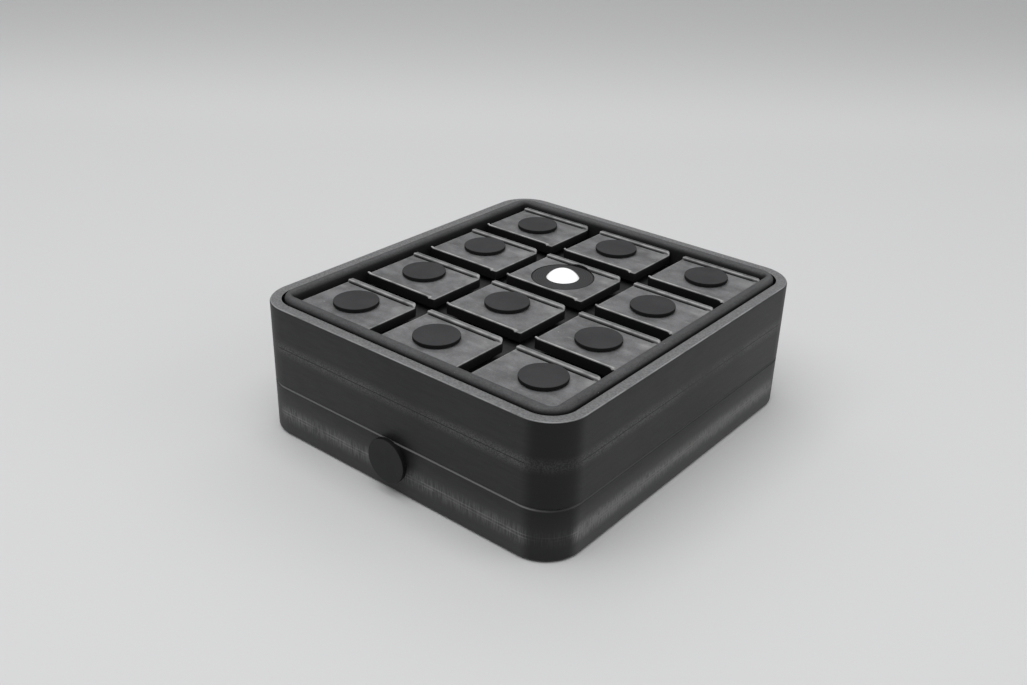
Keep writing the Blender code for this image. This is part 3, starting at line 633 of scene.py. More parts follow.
@dataclass(frozen=True)
class RingPlastic(Finish):
    """The socket ring: turned, with fine rings about the ball's axis.

    Attributes:
        centre: the ball's axis, in x and y.
        step: from one turning mark to the next.
    """

    centre: tuple[float, float] = (0.0, 0.0)
    step: float = 0.85 * MM

    def draw(self, graph: Graph) -> None:
        """Turning marks about the centre.

        Args:
            graph: the material's graph.
        """
        inputs = {0: graph.place, 1: (self.centre[0], self.centre[1], 0.0)}
        arm = graph.add("ShaderNodeVectorMath", {"operation": "SUBTRACT"}, inputs)
        flat = graph.add("ShaderNodeVectorMath", {"operation": "MULTIPLY"}, {0: arm, 1: (1, 1, 0)})
        radius = graph.add("ShaderNodeVectorMath", {"operation": "LENGTH"}, {0: flat}, "Value")
        turned = (radius * (math.tau / self.step)).sine()
        grain = graph.noise(1700.0, detail=3.0, seed=4.0)
        face = turned * 0.22 + grain * 0.8
        graph.set(
            base_color=graph.mix(face.fade(0.2, 0.9), shade(self.deep, 0.8), shade(self.deep, 1.3)),
            roughness=grain * 0.1 + (self.roughness - 0.05),
            normal=graph.bump(turned * 0.5 + grain * 0.5, 0.03 * MM, 0.5),
            ior=1.28,
        )


@dataclass(frozen=True)
class BallGlaze(Finish):
    """A polished white ball with faint marks from handling and a faint painted glow."""

    def draw(self, graph: Graph) -> None:
        """White, glossy and almost even, with a faint painted glow that lifts its shaded side.

        Args:
            graph: the material's graph.
        """
        cloud = graph.noise(160.0, detail=3.0, seed=3.0)
        grain = graph.noise(1500.0, detail=2.0)
        graph.set(
            base_color=graph.mix(cloud.fade(0.35, 0.7) * 0.5, self.deep, shade(self.deep, 0.93)),
            roughness=cloud * 0.12 + (self.roughness - 0.06),
            normal=graph.bump(grain, 0.01 * MM, 0.2),
            coat_weight=0.4,
            # painted light: a faint white glow, though the ball is no lamp
            emission_color=(1.0, 1.0, 1.0, 1.0),
            emission_strength=0.32,
        )


@dataclass(frozen=True)
class DrawnSteel(Finish):
    """Steel with fine lines and a little darkening."""

    def draw(self, graph: Graph) -> None:
        """Brushed metal.

        Args:
            graph: the material's graph.
        """
        lines = graph.noise(1.0, (300.0, 2400.0, 2400.0), detail=4.0, seed=2.0)
        cloud = graph.noise(130.0, detail=3.0, seed=6.0)
        graph.set(
            base_color=graph.mix(cloud.fade(0.35, 0.75) * 0.7, self.deep, shade(self.deep, 0.55)),
            metallic=1.0,
            roughness=lines * 0.22 + (self.roughness - 0.08),
            normal=graph.bump(lines, 0.01 * MM, 0.4),
        )


@dataclass(frozen=True)
class Finishes:
    """Every finish of the box."""

    wall: WallPlastic = WallPlastic(
        "wall_black", "shell_black", (0.0155, 0.0155, 0.0162), 0.46,
        (0.150, 0.150, 0.152), (0.178, 0.179, 0.175),
    )
    inside: Finish = Finish("inside_black", "inner_black", (0.022, 0.022, 0.023), 0.55)
    bezel: BezelPlastic = BezelPlastic(
        "bezel_brushed", "bezel_black", (0.012, 0.012, 0.0125), 0.50, (0.082, 0.082, 0.084)
    )
    key: KeyPlastic = KeyPlastic(
        "key_hazed", "key_black", (0.005, 0.005, 0.005), 0.44, (0.152, 0.152, 0.155), (0.46, 0.46, 0.45)
    )
    disc: DiscPlastic = DiscPlastic("disc_matt", "disc_black", (0.038, 0.038, 0.0395), 0.75)
    knob: DiscPlastic = DiscPlastic("knob_matt", "disc_black", (0.022, 0.022, 0.023), 0.62, faces_up=False)
    ball: BallGlaze = BallGlaze("ball_glaze", "ball_white", (0.92, 0.92, 0.92), 0.24)
    steel: DrawnSteel = DrawnSteel("steel_drawn", "steel", (0.48, 0.48, 0.49), 0.34)
    spring: DrawnSteel = DrawnSteel("spring_wire", "spring_steel", (0.60, 0.60, 0.62), 0.28)


# ---------------------------------------------------------------- drawing meshes


def arc(x: float, y: float, radius: float, start: float, end: float, steps: int) -> Profile:
    """Points along an arc.

    Args:
        x: the centre's first coordinate.
        y: the centre's second coordinate.
        radius: the arc's radius.
        start: first angle in degrees.
        end: last angle in degrees.
        steps: how many spans it has.

    Returns:
        The points, with both ends.
    """
    angles = [math.radians(start + (end - start) * i / steps) for i in range(steps + 1)]
    return [(x + radius * math.cos(a), y + radius * math.sin(a)) for a in angles]


def oblong(width: float, depth: float, radius: float, steps: int) -> Profile:
    """Points round a centred oblong with round corners.

    Args:
        width: size along X.
        depth: size along Y.
        radius: the corners' radius.
        steps: spans in each corner.

    Returns:
        The points, anticlockwise from the front right corner.
    """
    points: Profile = []
    for corner in Corner:
        side_x, side_y, start = corner.value
        centre_x = side_x * (width / 2 - radius)
        centre_y = side_y * (depth / 2 - radius)
        points += arc(centre_x, centre_y, radius, start, start + 90, steps)
    return points


class Draft:
    """A mesh while it is drawn: points, faces and each face's finish number."""

    def __init__(self) -> None:
        """Start with nothing drawn."""
        self.points: list[Point] = []
        self.faces: list[list[int]] = []
        self.slots: list[int] = []
        # painted highlight and shade marks on points, which the key finish reads
        self.wear: dict[int, float] = {}

    def loop(self, points: Iterable[Sequence[float]]) -> list[int]:
        """Add points.

        Args:
            points: where they are.

        Returns:
            Their numbers.
        """
        start = len(self.points)
        self.points += [tuple(p) for p in points]
        return list(range(start, len(self.points)))

    def face(self, corners: Iterable[int], slot: int = 0) -> None:
        """Add one face."""
        self.faces.append(list(corners))
        self.slots.append(slot)

    def bridge(self, first: list[int], second: list[int], slot: int = 0, closed: bool = True) -> None:
        """Join two loops of the same length with four-sided faces.

        Args:
            first: the first loop.
            second: the next loop.
            slot: the finish number of the new faces.
            closed: whether the loops are rings.
        """
        for i in range(0 if closed else 1, len(first)):
            self.face((first[i - 1], first[i], second[i], second[i - 1]), slot)

    def tube(self, loops: list[list[int]], slots: Sequence[int] | None = None, ring: bool = False) -> None:
        """Join loops one after another.

        Args:
            loops: the loops, all of the same length.
            slots: the finish number of each span; without it all are 0.
            ring: whether the last loop joins the first; otherwise both ends are closed with a face.
        """
        slots = slots or [0] * len(loops)
        for first, second, slot in zip(loops, loops[1:], slots):
            self.bridge(first, second, slot)
        if ring:
            self.bridge(loops[-1], loops[0], slots[-1])
        else:
            self.face(reversed(loops[0]), slots[0])
            self.face(loops[-1], slots[-1])

    def turn(self, profile: Profile, sides: int, centre: Point = (0, 0, 0), slot: int = 0) -> None:
        """Turn a closed profile of (radius, height) about an upright axis.

        Args:
            profile: the outline; where it meets the axis, its first and last radius are 0.
            sides: how many sides the round has.
            centre: a point on the axis; heights are added to its height.
            slot: the finish number.
        """
        touching = profile[0][0] == 0.0
        rows = []
        for radius, height in profile:
            if radius == 0.0:
                rows.append(self.loop([(centre[0], centre[1], centre[2] + height)]) * sides)
                continue
            ring = [
                (centre[0] + radius * math.cos(a), centre[1] + radius * math.sin(a), centre[2] + height)
                for a in (math.tau * i / sides for i in range(sides))
            ]
            rows.append(self.loop(ring))
        pairs = zip(rows, rows[1:]) if touching else zip(rows, rows[1:] + rows[:1])
        for first, second in pairs:
            for i in range(sides):
                corners = (first[i - 1], first[i], second[i], second[i - 1])
                self.face(list(dict.fromkeys(corners)), slot)

    def brick(
        self, low: Sequence[float], high: Sequence[float], slot: int = 0, round_by: float = 0.0
    ) -> None:
        """Add a block between two corners.

        Args:
            low: its lowest corner.
            high: its highest corner.
            slot: the finish number.
            round_by: how far its edges are rounded off.
        """
        bm = bmesh.new()
        low, high = Vector(low), Vector(high)
        place = Matrix.Translation((low + high) / 2) @ Matrix.Diagonal((*(high - low), 1.0))
        bmesh.ops.create_cube(bm, size=1.0, matrix=place)
        if round_by:
            bmesh.ops.bevel(bm, geom=list(bm.edges), offset=round_by, segments=2, profile=0.5, affect="EDGES")
        self.take(bm, slot)

    def take(self, bm: bmesh.types.BMesh, slot: int = 0) -> None:
        """Add everything in a bmesh, and free it.

        Args:
            bm: the shape to take in.
            slot: the finish number.
        """
        bm.verts.index_update()
        numbers = self.loop(v.co for v in bm.verts)
        for shape in bm.faces:
            self.face((numbers[v.index] for v in shape.verts), slot)
        bm.free()

    def mesh(self, name: str) -> bpy.types.Mesh:
        """Turn the draft into a mesh whose faces point outwards.

        Args:
            name: the mesh's name.

        Returns:
            The mesh, smooth but for its sharp edges.
        """
        mesh = bpy.data.meshes.new(name)
        mesh.from_pydata(self.points, [], self.faces)
        mesh.polygons.foreach_set("material_index", self.slots)
        if self.wear:
            marks = [self.wear.get(i, 0.0) for i in range(len(self.points))]
            mesh.attributes.new(HIGHLIGHT_AND_SHADE, "FLOAT", "POINT").data.foreach_set("value", marks)
        bm = bmesh.new()
        bm.from_mesh(mesh)
        bmesh.ops.recalc_face_normals(bm, faces=bm.faces)
        bm.to_mesh(mesh)
        bm.free()
        mesh.shade_smooth()
        mesh.set_sharp_from_angle(angle=SHARP_ANGLE)
        return mesh


def laid(mesh: bpy.types.Mesh, place: Point, side: int) -> bpy.types.Mesh:
    """Lay an upright mesh down along Y.

    Args:
        mesh: the mesh, which stands on the origin.
        place: where its foot goes.
        side: 1 to point it to the back, -1 to the front.

    Returns:
        The same mesh.
    """
    mesh.transform(Matrix.Translation(place) @ Matrix.Rotation(-side * math.pi / 2, 4, "X"))
    return mesh


def coin(name: str, radius: float, height: float, ease: float, dish: Profile) -> bpy.types.Mesh:
    """A round disc on the origin, eased at its edges.

    Args:
        name: the mesh's name.
        radius: the disc's radius.
        height: its thickness.
        ease: how far its edges are rounded off.
        dish: how deep its top is at shares of its radius, from the rim inwards.

    Returns:
        The mesh.
    """
    profile = [(0.0, 0.0), (radius - ease, 0.0), (radius, ease)]
    profile += [(radius - ease + a, height - ease + b) for a, b in arc(0, 0, ease, 0, 90, 5)]
    profile += [(radius * share, height - depth) for share, depth in dish]
    draft = Draft()
    draft.turn(profile, 96)
    return draft.mesh(name)


def place_piece(
    name: str, mesh: bpy.types.Mesh, finishes: Sequence[Finish], body: str, nodes: Sequence[str]
) -> bpy.types.Object:
    """Put a finished mesh in the scene as a piece that rides on a body.

    Args:
        name: the piece's name.
        mesh: its mesh, already in its place.
        finishes: its finishes, in the order of its finish numbers.
        body: the body it moves with.
        nodes: the frame's nodes that it stands for.

    Returns:
        The piece.
    """
    made = bpy.data.objects.new(name, mesh)
    bpy.context.scene.collection.objects.link(made)
    mesh.materials.clear()
    for finish in finishes:
        mesh.materials.append(finish.material())
    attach(made, body)
    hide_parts(*nodes)
    LOG.info("%s: %d faces, rides on %s", name, len(mesh.polygons), body)
    return made


def cut_from(mesh: bpy.types.Mesh, tools: Sequence[bpy.types.Mesh]) -> bpy.types.Mesh:
    """Cut the tools' solids out of a mesh.

    Args:
        mesh: the mesh to cut.
        tools: the meshes to take away.

    Returns:
        A new mesh.
    """
    held = bpy.data.objects.new("held", mesh)
    bpy.context.scene.collection.objects.link(held)
    cutters = []
    for tool in tools:
        cutter = bpy.data.objects.new("cutter", tool)
        bpy.context.scene.collection.objects.link(cutter)
        step = held.modifiers.new("cut", "BOOLEAN")
        step.operation = "DIFFERENCE"
        step.solver = "EXACT"
        step.object = cutter
        cutters.append(cutter)
    bpy.context.view_layer.update()
    done = bpy.data.meshes.new_from_object(held.evaluated_get(bpy.context.evaluated_depsgraph_get()))
    for thing in (held, *cutters):
        bpy.data.objects.remove(thing, do_unlink=True)
    done.shade_smooth()
    done.set_sharp_from_angle(angle=SHARP_ANGLE)
    return done


def joined(first: bpy.types.Mesh, second: bpy.types.Mesh) -> bpy.types.Mesh:
    """Put two meshes that run into each other into the first one.

    Args:
        first: the mesh to add to.
        second: the mesh to add.

    Returns:
        The first mesh, holding both.
    """
    bm = bmesh.new()
    bm.from_mesh(first)
    bm.from_mesh(second)
    bm.to_mesh(first)
    bm.free()
    first.set_sharp_from_angle(angle=SHARP_ANGLE)
    return first


# ---------------------------------------------------------------- shells


@dataclass
class Shells:
    """The tray and the lid's wall: two rounded shells that meet at the seam."""

    finishes: Finishes
    width: float = 130.0 * MM
    depth: float = 144.0 * MM
    corner: float = 13.6 * MM
    wall: float = 4.0 * MM
    floor: float = 3.0 * MM
    seam: float = 19.0 * MM
    seam_gap: float = 0.4 * MM
    rim: float = 48.7 * MM
    foot: float = 1.5 * MM
    chamfer: float = 0.6 * MM
    fillet: float = 0.7 * MM
    corner_steps: int = 20
    knuckle_radius: float = 3.0 * MM
    pin_hole: float = 1.4 * MM
    hinge_centre: float = 34.0 * MM
    hinge_length: float = 84.0 * MM
    side_play: float = 0.4 * MM
    knob_height: float = 13.0 * MM
    knob_hole: float = 2.8 * MM
    keeper_spacing: float = 60.0 * MM
    keeper_half: float = 4.0 * MM
    keeper_depth: float = 3.0 * MM
    window_half: float = 2.4 * MM
    catch_rise: float = 9.0 * MM
    catch_radius: float = 1.25 * MM
    catch_length: float = 4.0 * MM
    post_size: float = 13.0 * MM
    post_corner: float = 2.2 * MM
    screw_hole: float = 1.6 * MM
    guide_wall: float = 2.0 * MM

    def ring_at(self, draft: Draft, inset: float, height: float) -> list[int]:
        """A loop round the box at a distance in from its outer wall.

        Args:
            draft: the mesh to add to.
            inset: the distance in.
            height: the loop's height.

        Returns:
            The numbers of its points.
        """
        width, depth = self.width - 2 * inset, self.depth - 2 * inset
        outline = oblong(width, depth, self.corner - inset, self.corner_steps)
        return draft.loop((x, y, height) for x, y in outline)

    def knuckle(self, draft: Draft, x_low: float, x_high: float, side: int) -> None:
        """A hinge barrel along X with its bore, and the web to the back wall.

        Args:
            draft: the mesh to add to.
            x_low: the barrel's left end.
            x_high: its right end.
            side: 1 for one that belongs to the lid, -1 for the tray's.
        """
        axis = middle_of("hinge_pin")
        ease = 0.25 * MM
        outer, bore = self.knuckle_radius, self.pin_hole
        stations = (
            (x_low, outer - ease), (x_low + ease, outer), (x_high - ease, outer), (x_high, outer - ease),
            (x_high, bore), (x_low, bore),
        )
        circles = ((x, arc(axis.y, axis.z, radius, 0, 360 - 7.5, 47)) for x, radius in stations)
        draft.tube([draft.loop((x, a, b) for a, b in circle) for x, circle in circles], ring=True)
        web = sorted((axis.z + side * self.seam_gap, axis.z + side * outer * 0.9))
        reach = axis.y - outer + 1.2 * MM
        draft.brick((x_low, self.depth / 2 - MM, web[0]), (x_high, reach, web[1]))

    def tray(self) -> None:
        """The tray, with its floor, keeper posts, knuckles and the knob's hole."""
        ease = 0.3 * MM
        outer = arc(self.foot, self.foot, self.foot, -90, -180, 6)
        outer += [(0.0, self.seam - self.chamfer), (self.chamfer, self.seam)]
        inner = [
            (self.wall - ease, self.seam), (self.wall, self.seam - ease), (self.wall, self.floor + MM),
            (self.wall + ease, self.floor + ease), (self.wall + MM, self.floor),
        ]
        draft = Draft()
        loops = [self.ring_at(draft, inset, height) for inset, height in outer + inner]
        draft.tube(loops, [0] * (len(outer) + 1) + [1] * len(inner))
        hole = Draft()
        hole.turn([(0.0, 0.0), (self.knob_hole, 0.0), (self.knob_hole, 8 * MM), (0.0, 8 * MM)], 32)
        tool = laid(hole.mesh("knob_hole"), (0, -self.depth / 2 - 2 * MM, self.knob_height), 1)
        shell = cut_from(draft.mesh("tray"), [tool])
        extras = Draft()
        for side in (-1, 1):
            ends = sorted((side * (self.hinge_centre / 2 + self.side_play), side * self.hinge_length / 2))
            self.knuckle(extras, *ends, -1)
            self.keeper(extras, side * self.keeper_spacing / 2)
        finishes = (self.finishes.wall, self.finishes.inside)
        place_piece("tray_shell", joined(shell, extras.mesh("tray_extras")), finishes, "base", ["base_shell"])

    def keeper(self, draft: Draft, x: float) -> None:
        """A keeper post: two legs and a bridge round the window that a bolt enters.

        Args:
            draft: the mesh to add to.
            x: the post's middle.
        """
        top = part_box("base_shell")[1].z
        plate_low, plate_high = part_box("lock_plate")
        front = -self.depth / 2 + self.wall + 2.6 * MM
        back = front + self.keeper_depth
        half = self.keeper_half
        low, high = plate_low.z - self.side_play, plate_high.z + self.side_play
        draft.brick((x - half, front, self.floor - MM), (x + half, back, low), 1)
        draft.brick((x - half, front, high), (x + half, back, top), 1)
        for side in (-1, 1):
            ends = sorted((x + side * self.window_half, x + side * half))
            draft.brick((ends[0], front, low), (ends[1], back, high), 1)

    def lid(self) -> None:
        """The lid's wall, with its corner posts, plate guides, keeper pin and knuckle."""
        low, top, ease = self.seam + self.seam_gap, self.rim, 0.35 * MM
        outer = [(0.12 * MM, low), (0.0, low + 0.12 * MM)]
        outer += arc(self.fillet, top - self.fillet, self.fillet, 180, 90, 5)
        inner = [
            (self.wall - ease, top), (self.wall - 0.1 * MM, top - 0.1 * MM), (self.wall, top - ease),
            (self.wall, low),
        ]
        draft = Draft()
        loops = [self.ring_at(draft, inset, height) for inset, height in outer + inner]
        draft.tube(loops, [0] * (len(outer) + 2) + [1] * 2, ring=True)
        self.knuckle(draft, -self.hinge_centre / 2, self.hinge_centre / 2, 1)
        self.posts(draft)
        self.guides(draft)
        pin = Draft()
        radius, length = self.catch_radius, self.catch_length
        tip = [(radius, length - 0.4 * MM), (radius - 0.25 * MM, length)]
        pin.turn([(0.0, 0.0), (radius, 0.0), *tip, (0.0, length)], 24)
        foot = (0, -self.depth / 2 + self.wall - MM, self.knob_height + self.catch_rise)
        mesh = joined(draft.mesh("lid"), laid(pin.mesh("keeper_pin"), foot, 1))
        place_piece("lid_wall", mesh, (self.finishes.wall, self.finishes.inside), "lid", ["upper_shell"])

    def posts(self, draft: Draft) -> None:
        """The lid's four corner posts, each with its screw hole.

        Args:
            draft: the mesh to add to.
        """
        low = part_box("bottom_cover")[1].z + 0.3 * MM
        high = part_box("deck_plate")[0].z - 0.3 * MM
        outline = oblong(self.post_size, self.post_size, self.post_corner, 6)
        bore = []
        for x, y in outline:
            out = math.hypot(x, y)
            bore.append((self.screw_hole * x / out, self.screw_hole * y / out))
        for number in range(1, 5):
            at = middle_of(f"deck_screw_{number}")
            rings = ((outline, low), (outline, high), (bore, high), (bore, low))
            loops = [draft.loop((at.x + x, at.y + y, height) for x, y in ring) for ring, height in rings]
            draft.tube(loops, [1] * 4, ring=True)

    def guides(self, draft: Draft) -> None:
        """The two channels that the lock plate slides in.

        Args:
            draft: the mesh to add to.
        """
        low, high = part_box("lock_plate")
        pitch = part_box("key_tile_r2c1")[0].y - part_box("key_tile_r1c1")[0].y
        inner = high.x - 3.0 * MM
        outer = self.width / 2 - self.wall + 0.5 * MM
        under, over = low.z - self.side_play, high.z + self.side_play
        for side in (-1, 1):
            for z_low, z_high in ((under - self.guide_wall, under), (over, over + self.guide_wall)):
                ends = sorted((side * inner, side * outer))
                draft.brick((ends[0], -pitch, z_low), (ends[1], pitch, z_high), 1, 0.2 * MM)
            ends = sorted((side * (high.x + self.side_play), side * outer))
            draft.brick((ends[0], -pitch, low.z - 0.6 * MM), (ends[1], pitch, high.z + 0.6 * MM), 1)


@dataclass
class Bezel:
    """The frame round the keys, half round on top."""

    finishes: Finishes
    band: float = 4.2 * MM
    shoulder: float = 1.8 * MM
    inner_corner: float = 1.5 * MM
    outer_corner: float = 8.7 * MM
    corner_steps: int = 18
    round_steps: int = 9

    def build(self) -> None:
        """Loft the frame from its outer to its inner outline."""
        low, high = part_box("bezel_frame")
        width, depth = high.x - low.x, high.y - low.y
        crest = high.z
        rise = []
        for i in range(self.round_steps + 1):
            angle = math.pi / 2 * i / self.round_steps
            drop = self.shoulder * (1 - math.sin(angle))
            rise.append((self.band * 0.46 * (1 - math.cos(angle)), crest - drop))
        fall = [(self.band - inset * 0.86, height) for inset, height in reversed(rise)]
        section = [(0.0, low.z), (0.0, crest - 2.6 * MM)] + rise + fall
        section += [(self.band, crest - 2.4 * MM), (self.band, low.z)]
        draft = Draft()
        loops = []
        for inset, height in section:
            corner = self.outer_corner + (self.inner_corner - self.outer_corner) * inset / self.band
            outline = oblong(width - 2 * inset, depth - 2 * inset, corner, self.corner_steps)
            loops.append(draft.loop((x, y, height) for x, y in outline))
        draft.tube(loops, ring=True)
        place_piece("key_bezel", draft.mesh("key_bezel"), (self.finishes.bezel,), "lid", ["bezel_frame"])


# ---------------------------------------------------------------- keys


def key_tags() -> list[str]:
    """The keys' tags, from the front left."""
    return sorted(n.removeprefix("key_tile_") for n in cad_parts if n.startswith("key_tile_"))


@dataclass
class PlateTop:
    """The shaped top of a key's plate, measured from the middle of the plate.

    The stops' places are in millimetres in from the far or the near edge. The heights and distances
    inside its methods are in millimetres too, as gaps gives them.
    """

    width: float
    depth: float
    edge: float = 0.28 * MM
    left_corner: float = 0.45 * MM
    near_right_corner: float = 0.7 * MM
    far_right_corner: float = 3.0 * MM
    far_bar: Stops = (
        (0.0, 0.60), (0.3, 0.74), (0.9, 0.76), (1.4, 0.80), (1.75, 0.94), (1.95, 0.92), (2.20, 0.62),
        (2.40, 0.15), (2.50, -0.30), (2.72, -0.30), (2.82, -0.05), (2.92, 0.02), (3.2, 0.0),
    )
    near_lip: Stops = ((0.0, 0.30), (0.25, 0.48), (0.55, 0.50), (0.85, 0.34), (1.2, 0.08), (1.6, 0.0))
    # painted highlight on the near lip and the bar's crest; painted shade in the groove
    lip_highlight: Stops = ((0.04, 0.0), (0.16, 1.0), (0.70, 1.0), (0.95, 0.0))
    crest_highlight: Stops = ((1.45, 0.0), (1.7, 0.8), (2.15, 0.8), (2.3, 0.0))
    groove_shade: Stops = ((2.36, 0.0), (2.46, 1.0), (2.74, 1.0), (2.84, 0.0))

    def gaps(self, x: float, y: float) -> tuple[float, float, float, float]:
        """How far a point is in from the near, far, left and right edges, in millimetres."""
        half_width, half_depth = self.width / 2, self.depth / 2
        return (y + half_depth) / MM, (half_depth - y) / MM, (x + half_width) / MM, (half_width - x) / MM

    def radius_at(self, x: float, y: float) -> float:
        """The radius of the nearest corner."""
        right = self.far_right_corner if y > 0 else self.near_right_corner
        return right if x > 0 else self.left_corner

    def inside(self, x: float, y: float) -> float:
        """How far a point near the edge is inside the plate's outline.

        Args:
            x: place along X.
            y: place along Y.

        Returns:
            The distance, or 0 outside.
        """
        radius = self.radius_at(x, y)
        over_x, over_y = abs(x) - (self.width / 2 - radius), abs(y) - (self.depth / 2 - radius)
        if over_x > 0 and over_y > 0:
            return max(0.0, radius - math.hypot(over_x, over_y))
        return max(0.0, radius - max(over_x, over_y))

    def side_at(self, y: float, side: int) -> float:
        """The outline's x at a place along Y.

        Args:
            y: the place.
            side: -1 for the left, 1 for the right.

        Returns:
            The x.
        """
        radius = self.radius_at(side, y)
        over = abs(y) - (self.depth / 2 - radius)
        give = radius - math.sqrt(max(0.0, radius**2 - over**2)) if over > 0 else 0.0
        return side * (self.width / 2 - give)

    def height_at(self, x: float, y: float) -> float:
        """The upper surface, with its far bar, groove, near lip, hook and notch.

        Args:
            x: place along X.
            y: place along Y.

        Returns:
            The height above the plate's nominal top.
        """
        near, far, left, right = self.gaps(x, y)
        bar = read_curve(self.far_bar, far)
        if bar < 0:
            bar *= grows(right, 2.6, 0.5) * grows(left, 0.8, 0.6)
        else:
            bar *= grows(right, 0.3, 1.1) ** 0.5
        lip = read_curve(self.near_lip, near) * grows(right, 2.6, 0.5) ** 0.6
        hook = 0.32 * fades(left, 1.2, 0.5) * fades(near, 1.5, 0.6)
        notch = -0.30 * fades(abs(right - 2.45), 0.45, 0.45) * fades(near, 1.2, 0.5)
        soft = max(0.0, self.edge - self.inside(x, y))
        fall = self.edge - math.sqrt(max(0.0, self.edge**2 - soft**2))
        return (bar + lip + hook + notch) * MM - fall

    def highlight_and_shade_at(self, x: float, y: float) -> float:
        """How much painted highlight or painted shade the top takes.

        Args:
            x: place along X.
            y: place along Y.

        Returns:
            From 1, a full painted highlight, through 0 to -1, full painted shade in the groove.
        """
        near, far, left, right = self.gaps(x, y)
        # painted highlights: near lip, hook, near right corner, crest, edges and the far right
        pale = (
            read_band(self.lip_highlight, near) * grows(right, 2.4, 0.4),
            fades(left, 1.5, 0.5) * fades(near, 1.6, 0.4),
            min(1.3 * fades(abs(right - 3.0), 1.17, 0.9) * fades(near, 1.6, 0.5), 1.0),
            read_band(self.crest_highlight, far),
            0.40 * fades(min(right, self.inside(x, y) / MM), 0.5, 0.2),
            0.30 * fades(math.hypot(right - 2, far - 5), 6, 6),
            0.6 * fades(right, 2.4, 0.8) * fades(far, 2.3, 0.3),
        )
        # painted shade: the groove behind the far bar
        dark = read_band(self.groove_shade, far) * grows(right, 2.2, 0.5) * grows(left, 0.6, 0.4)
        return max(pale) - 2 * dark


